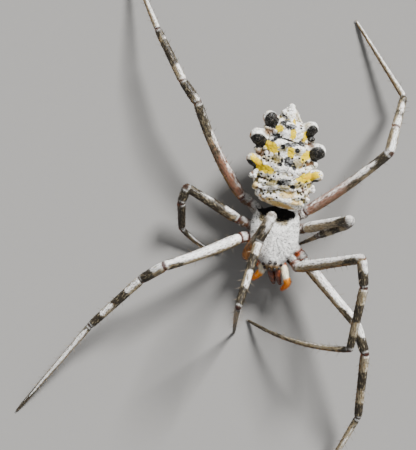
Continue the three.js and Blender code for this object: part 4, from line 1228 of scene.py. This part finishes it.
def buildHind():
    form = bmesh.new()
    addCadNode(form, "abdomen")
    addCadNode(form, "spinnerets")
    addBall(form, onHind(9.6, 0, -2.3), 0.72, (1, 1, 0.8))
    skin = fuse("hind_skin", form, hindForm["voxel"], 10)
    mesh = skin.data
    points, ups = places(mesh), normals(mesh)
    upness = ups[:, 2]
    flat = points - np.array(shift)
    offset = flat[:, :2] - np.array((hindForm["x"], hindForm["y"]))
    left = offset @ np.array(levelWay[:2]) / math.cos(hindRoll)
    back = offset @ np.array(backWay[:2]) + hindSkew * left
    masks = {}
    for key, spots in hindMarks.items():
        strength = np.max([ellipse(flat, *spot) for spot in spots], axis=0)
        masks[key] = strength * smoothStep(upness, -0.1, 0.25)
    small = [np.array(a) + (np.array(b) - np.array(a)) * i / (count - 1)
             for a, b, count in pitRows for i in range(count)]
    pits = np.max([ellipse(flat, x, y, pitRadius, pitRadius) for x, y in small], axis=0)
    groove = np.clip(masks.pop("groove") + noiseAt(points, 2.6, 6) * 0.3, 0, 1)
    masks["pit"] = np.maximum.reduce([pits * smoothStep(upness, 0.0, 0.25), masks.pop("dots"), groove])
    # knobs: the face towards the head is black, its own colour with painted shade on it, ashy above, and an
    # orange glow of light is painted along the rim on the side turned from the light
    knobNear = np.zeros(len(points))
    for reachBack, reach, rise, size in knobs:
        for side in (-1, 1):
            gap = np.linalg.norm(points - np.array(onHind(reachBack, side * reach, rise)), axis=1)
            knobNear = np.maximum(knobNear, smoothStep(gap, size * 1.35, size * 1.15))
    rough = flat + 0.06 * noiseAt(points, 3.0, 8)[:, None]
    face = np.max([ellipse(rough, *spot) for spot in knobFaces], axis=0)
    notBelow = smoothStep(upness, -0.75, -0.45)
    masks["black"] = face * notBelow * np.maximum(knobNear, smoothStep(face, 0.5, 0.6) * 0.9)
    # painted light: an orange glow along the knobs' edge on the side turned from the light
    shaded = smoothStep(ups @ lightSide, 0.1, -0.4)
    masks["rim"] = smoothStep(upness, 0.5, 0.25) * shaded * knobNear * smoothStep(upness, -0.5, -0.2)
    masks["ash"] = smoothStep(upness, 0.05, 0.75)
    masks["lip"] = hump(lineDistance(flat, lipLine), 0.15) * smoothStep(upness, -0.3, 0.1)
    # the dark belly and spinnerets, with a pale stripe on each side
    toSpigots = np.linalg.norm(points - np.array(onHind(9.5, 0, -3.0)), axis=1)
    below = np.maximum(smoothStep(upness, -0.2, -0.5), smoothStep(toSpigots, 1.3, 1.0))
    masks["under"] = below * (1 - knobNear * 0.6)
    onStripe = smoothStep(np.abs(np.abs(left) - 1.5), 0.32, 0.2)
    masks["stripe"] = onStripe * smoothStep(back, 10.5, 9.5) * smoothStep(back, 1.0, 2.0)
    # beads with rust-brown creases between them, from the flanks in towards the back: the skin's own
    # rust-brown with painted shade in the creases
    width = np.interp(back, *zip(*hindForm["halfWidth"]))
    flank = smoothStep(np.abs(left) / width, 0.5, 0.74) * smoothStep(upness, -0.45, -0.1) * (1 - knobNear)
    flank *= smoothStep(back, 12.6, 11.8) * (1 - smoothStep(masks["yellow"], 0.3, 0.5))
    dome = np.zeros(len(points))
    for bead in findBeads(points, flank > 0.6):
        away = np.linalg.norm(points - bead, axis=1) / beadForm["radius"]
        dome = np.maximum(dome, np.sqrt(np.clip(1 - away ** 2, 0, 1)))
    masks["shadedCrevice"] = flank * smoothStep(dome, 0.5, 0.1) * smoothStep(noiseAt(points, 0.9, 9), -0.35, 0.15)
    # lumps and fine creases all over, wrinkles in front, and the sunk folds and pits of the back
    lumps = noiseAt(points, 1.1, 2) * 0.08 + noiseAt(points, 3.2, 3) * 0.04
    wrinkle = np.sin(back * 6.0 + noiseAt(points, 0.9, 4) * 3) * smoothStep(back, 4.4, 2.6) * 0.05
    creased = np.abs(noiseAt(points * np.array((0.7, 1.6, 1.0)), 1.0, 5))
    crease = smoothStep(creased, 0.09, 0.0) * 0.07
    wobbly = flat[:, :2] + 0.14 * noiseAt(points, 1.3, 12)[:, None]
    folds = np.max([hump(lineDistance(wobbly, line), foldForm["width"]) for line in foldLines], axis=0)
    sunk = smoothStep(masks["pit"], 0.3, 0.75) * 0.13 + folds * foldForm["depth"]
    upper = smoothStep(upness, 0.0, 0.3)
    raised = (lumps - crease * upper) * (1 - knobNear) + (wrinkle - sunk) * upper
    raised += flank * (dome * beadForm["rise"] - 0.06) - hindForm["inset"]
    for x, y, rise, size in tailLobes:
        raised += rise * hump(np.hypot(flat[:, 0] - x, flat[:, 1] - y), size)
    movePoints(mesh, points + ups * raised[:, None])
    # the relief, which the colour darkens in the folds as painted shade
    masks["ridge"] = relief(skin, 60, 0.09) * (1 - knobNear)
    masks["lie"] = np.tile(np.array(backWay), (len(points), 1))
    paint(mesh, masks)
    unwrap(skin)
    cover = 1 - 0.7 * smoothStep(masks["black"], 0.4, 0.6)
    cover *= 1 - 0.9 * smoothStep(masks["pit"], 0.2, 0.4)
    coat = plantTufts("hind_coat", skin, "hindHair", hindCoat, cover)
    finish(skin, ["abdomen", "spinnerets"], "hindSkin")
    finish(coat)


buildHind()
print("hind body built")


palpPaths = {
    "right": (
        (-1.75, -3.8, 4.05), (-2.0, -4.3, 4.4), (-1.5, -4.85, 4.65), (-2.15, -5.65, 4.4),
        (-2.85, -6.3, 3.45),
    ),
    "left": (
        (1.08, -3.85, 4.05), (1.4, -4.9, 4.7), (1.62, -6.1, 5.1), (1.88, -6.95, 4.6), (1.2, -7.8, 3.5),
    ),
}
palpForm = {
    "radii": (
        (0, 0.34), (0.2, 0.42), (0.42, 0.47), (0.48, 0.40), (0.53, 0.46), (0.72, 0.46), (0.77, 0.40),
        (0.82, 0.42), (1, 0.24),
    ),
    "voxel": 0.05,
    "paleReach": {"right": 0.18, "left": 0.06},  # how much later the pale base gives way to orange
}
palpCoat = {
    "perSquare": 110, "length": (0.18, 0.4), "width": 0.032, "lift": (15, 45), "stray": 0.25, "seed": 31,
}
jawPaths = {
    "right": ((-0.55, -4.55, 4.82), (-0.42, -5.5, 4.7), (0.02, -6.85, 3.3)),
    "left": ((0.37, -4.65, 4.82), (0.5, -5.6, 4.7), (0.92, -7.0, 3.3)),
}
jawForm = {"radii": ((0, 0.40), (0.3, 0.46), (0.6, 0.47), (0.9, 0.38), (1, 0.30)), "voxel": 0.05}
fangForm = {
    "back": 0.5, "inward": 0.25, "drop": 0.9, "bulge": 0.28,
    "radii": ((0, 0.2), (0.3, 0.17), (0.7, 0.1), (1, 0.03)),
}


# A smooth line through points, in even steps.
def smoothLine(points, count=40):
    points = [Vector(p) + shift for p in points]
    ends = [points[0] * 2 - points[1]] + points + [points[-1] * 2 - points[-2]]
    line = []
    for i in range(count + 1):
        along = i / count * (len(points) - 1)
        k = min(int(along), len(points) - 2)
        s = along - k
        a, b, c, d = ends[k:k + 4]
        bend = (a * 2 - b * 5 + c * 4 - d) * s ** 2 + (b * 3 - a - c * 3 + d) * s ** 3
        line.append(0.5 * (b * 2 + (c - a) * s + bend))
    return line


# Stations down a line, in the columns of a leg's.
def lineRows(line, later):
    rows = []
    travelled = 0.0
    for i, point in enumerate(line):
        heading = (line[min(i + 1, len(line) - 1)] - line[max(i - 1, 0)]).normalized()
        upper = heading.cross(upright).normalized().cross(heading)
        if i:
            travelled += (point - line[i - 1]).length
        rows.append((*point, *heading, *upper, i / (len(line) - 1) - later, travelled, 0.0))
    return np.array(rows)


def buildPalp(side, number):
    line = smoothLine(palpPaths[side])
    form = bmesh.new()
    addProfile(form, line, palpForm["radii"])
    skin = fuse(f"palp_{side}_skin", form, palpForm["voxel"], 2)
    mapAlong(skin.data, lineRows(line, palpForm["paleReach"][side]), legTints["palp"], legBands["plain"])
    unwrap(skin)
    cover = np.ones(len(skin.data.vertices))
    ownCoat = {**palpCoat, "seed": palpCoat["seed"] + number}
    coat = plantTufts(f"palp_{side}_coat", skin, "palpHair", ownCoat, cover)
    finish(skin, [f"palp_{side}_femur", f"palp_{side}_tip"], "palpSkin")
    finish(coat)


def buildJaw(side):
    line = smoothLine(jawPaths[side], 24)
    form = bmesh.new()
    addProfile(form, line, jawForm["radii"])
    jaw = fuse(f"chelicera_{side}_skin", form, jawForm["voxel"], 3)
    finish(jaw, [f"chelicera_{side}"], "jaw")
    base = line[-1]
    inward = fangForm["inward"] * (1 if side == "right" else -1)
    tip = base - forwardWay * fangForm["back"] + leftWay * inward - upright * fangForm["drop"]
    control = base.lerp(tip, 0.4) + forwardWay * fangForm["bulge"]
    form = bmesh.new()
    addProfile(form, [arc(base, control, tip, i / 14) for i in range(15)], fangForm["radii"], sides=12)
    finish(objectOf(f"fang_{side}_horn", form), [f"fang_{side}"], "fang")


def buildEyes():
    for name, (forward, left, height, radius) in eyeForm.items():
        for side, sign in (("right", -1), ("left", 1)):
            placed = Matrix.Translation(onFront(forward, sign * left, height) + shift)
            form = bmesh.new()
            bmesh.ops.create_icosphere(form, subdivisions=3, radius=radius, matrix=placed)
            lens = objectOf(f"eye_{name}_{side}_lens", form)
            finish(lens, [f"eye_{name}_{side}"], "eye")


for sideNumber, sideName in enumerate(("right", "left")):
    buildPalp(sideName, sideNumber)
    buildJaw(sideName)
buildEyes()
print("head parts built")


studio = {
    "floor": (0.25, 0.243, 0.232), "floorHalf": 1.5,
    "key": {"at": (0.15, 0.21, 0.20), "spread": 16, "strength": 10.0},
    "sky": (0.95, 0.97, 1, 1), "skyStrength": 0.45,
}


def addLight(name, at, spread, strength):
    lamp = bpy.data.lights.new(name, "SUN")
    lamp.angle = math.radians(spread)
    lamp.energy = strength
    light = newObject(name, lamp)
    light.location = at
    light.rotation_euler = (-Vector(at)).to_track_quat("-Z", "Y").to_euler()


def buildStudio():
    form = bmesh.new()
    bmesh.ops.create_grid(form, x_segments=1, y_segments=1, size=studio["floorHalf"])
    mesh = bpy.data.meshes.new("floor")
    form.to_mesh(mesh)
    form.free()
    material, tree, shader = newMaterial("paper", 0.9, 0.2)
    paper = grain(tree, objectPlace(tree), 900.0)
    darker = tuple(level * 0.97 for level in studio["floor"])
    dress(tree, shader, blendColours(tree, paper, studio["floor"], darker))
    mesh.materials.append(material)
    floor = newObject("floor", mesh)
    addLight("keyLight", **studio["key"])
    world = bpy.data.worlds.new("studio")
    world.use_nodes = True
    background = world.node_tree.nodes["Background"]
    background.inputs["Color"].default_value = studio["sky"]
    background.inputs["Strength"].default_value = studio["skyStrength"]
    bpy.context.scene.world = world


buildStudio()
print("studio ready")
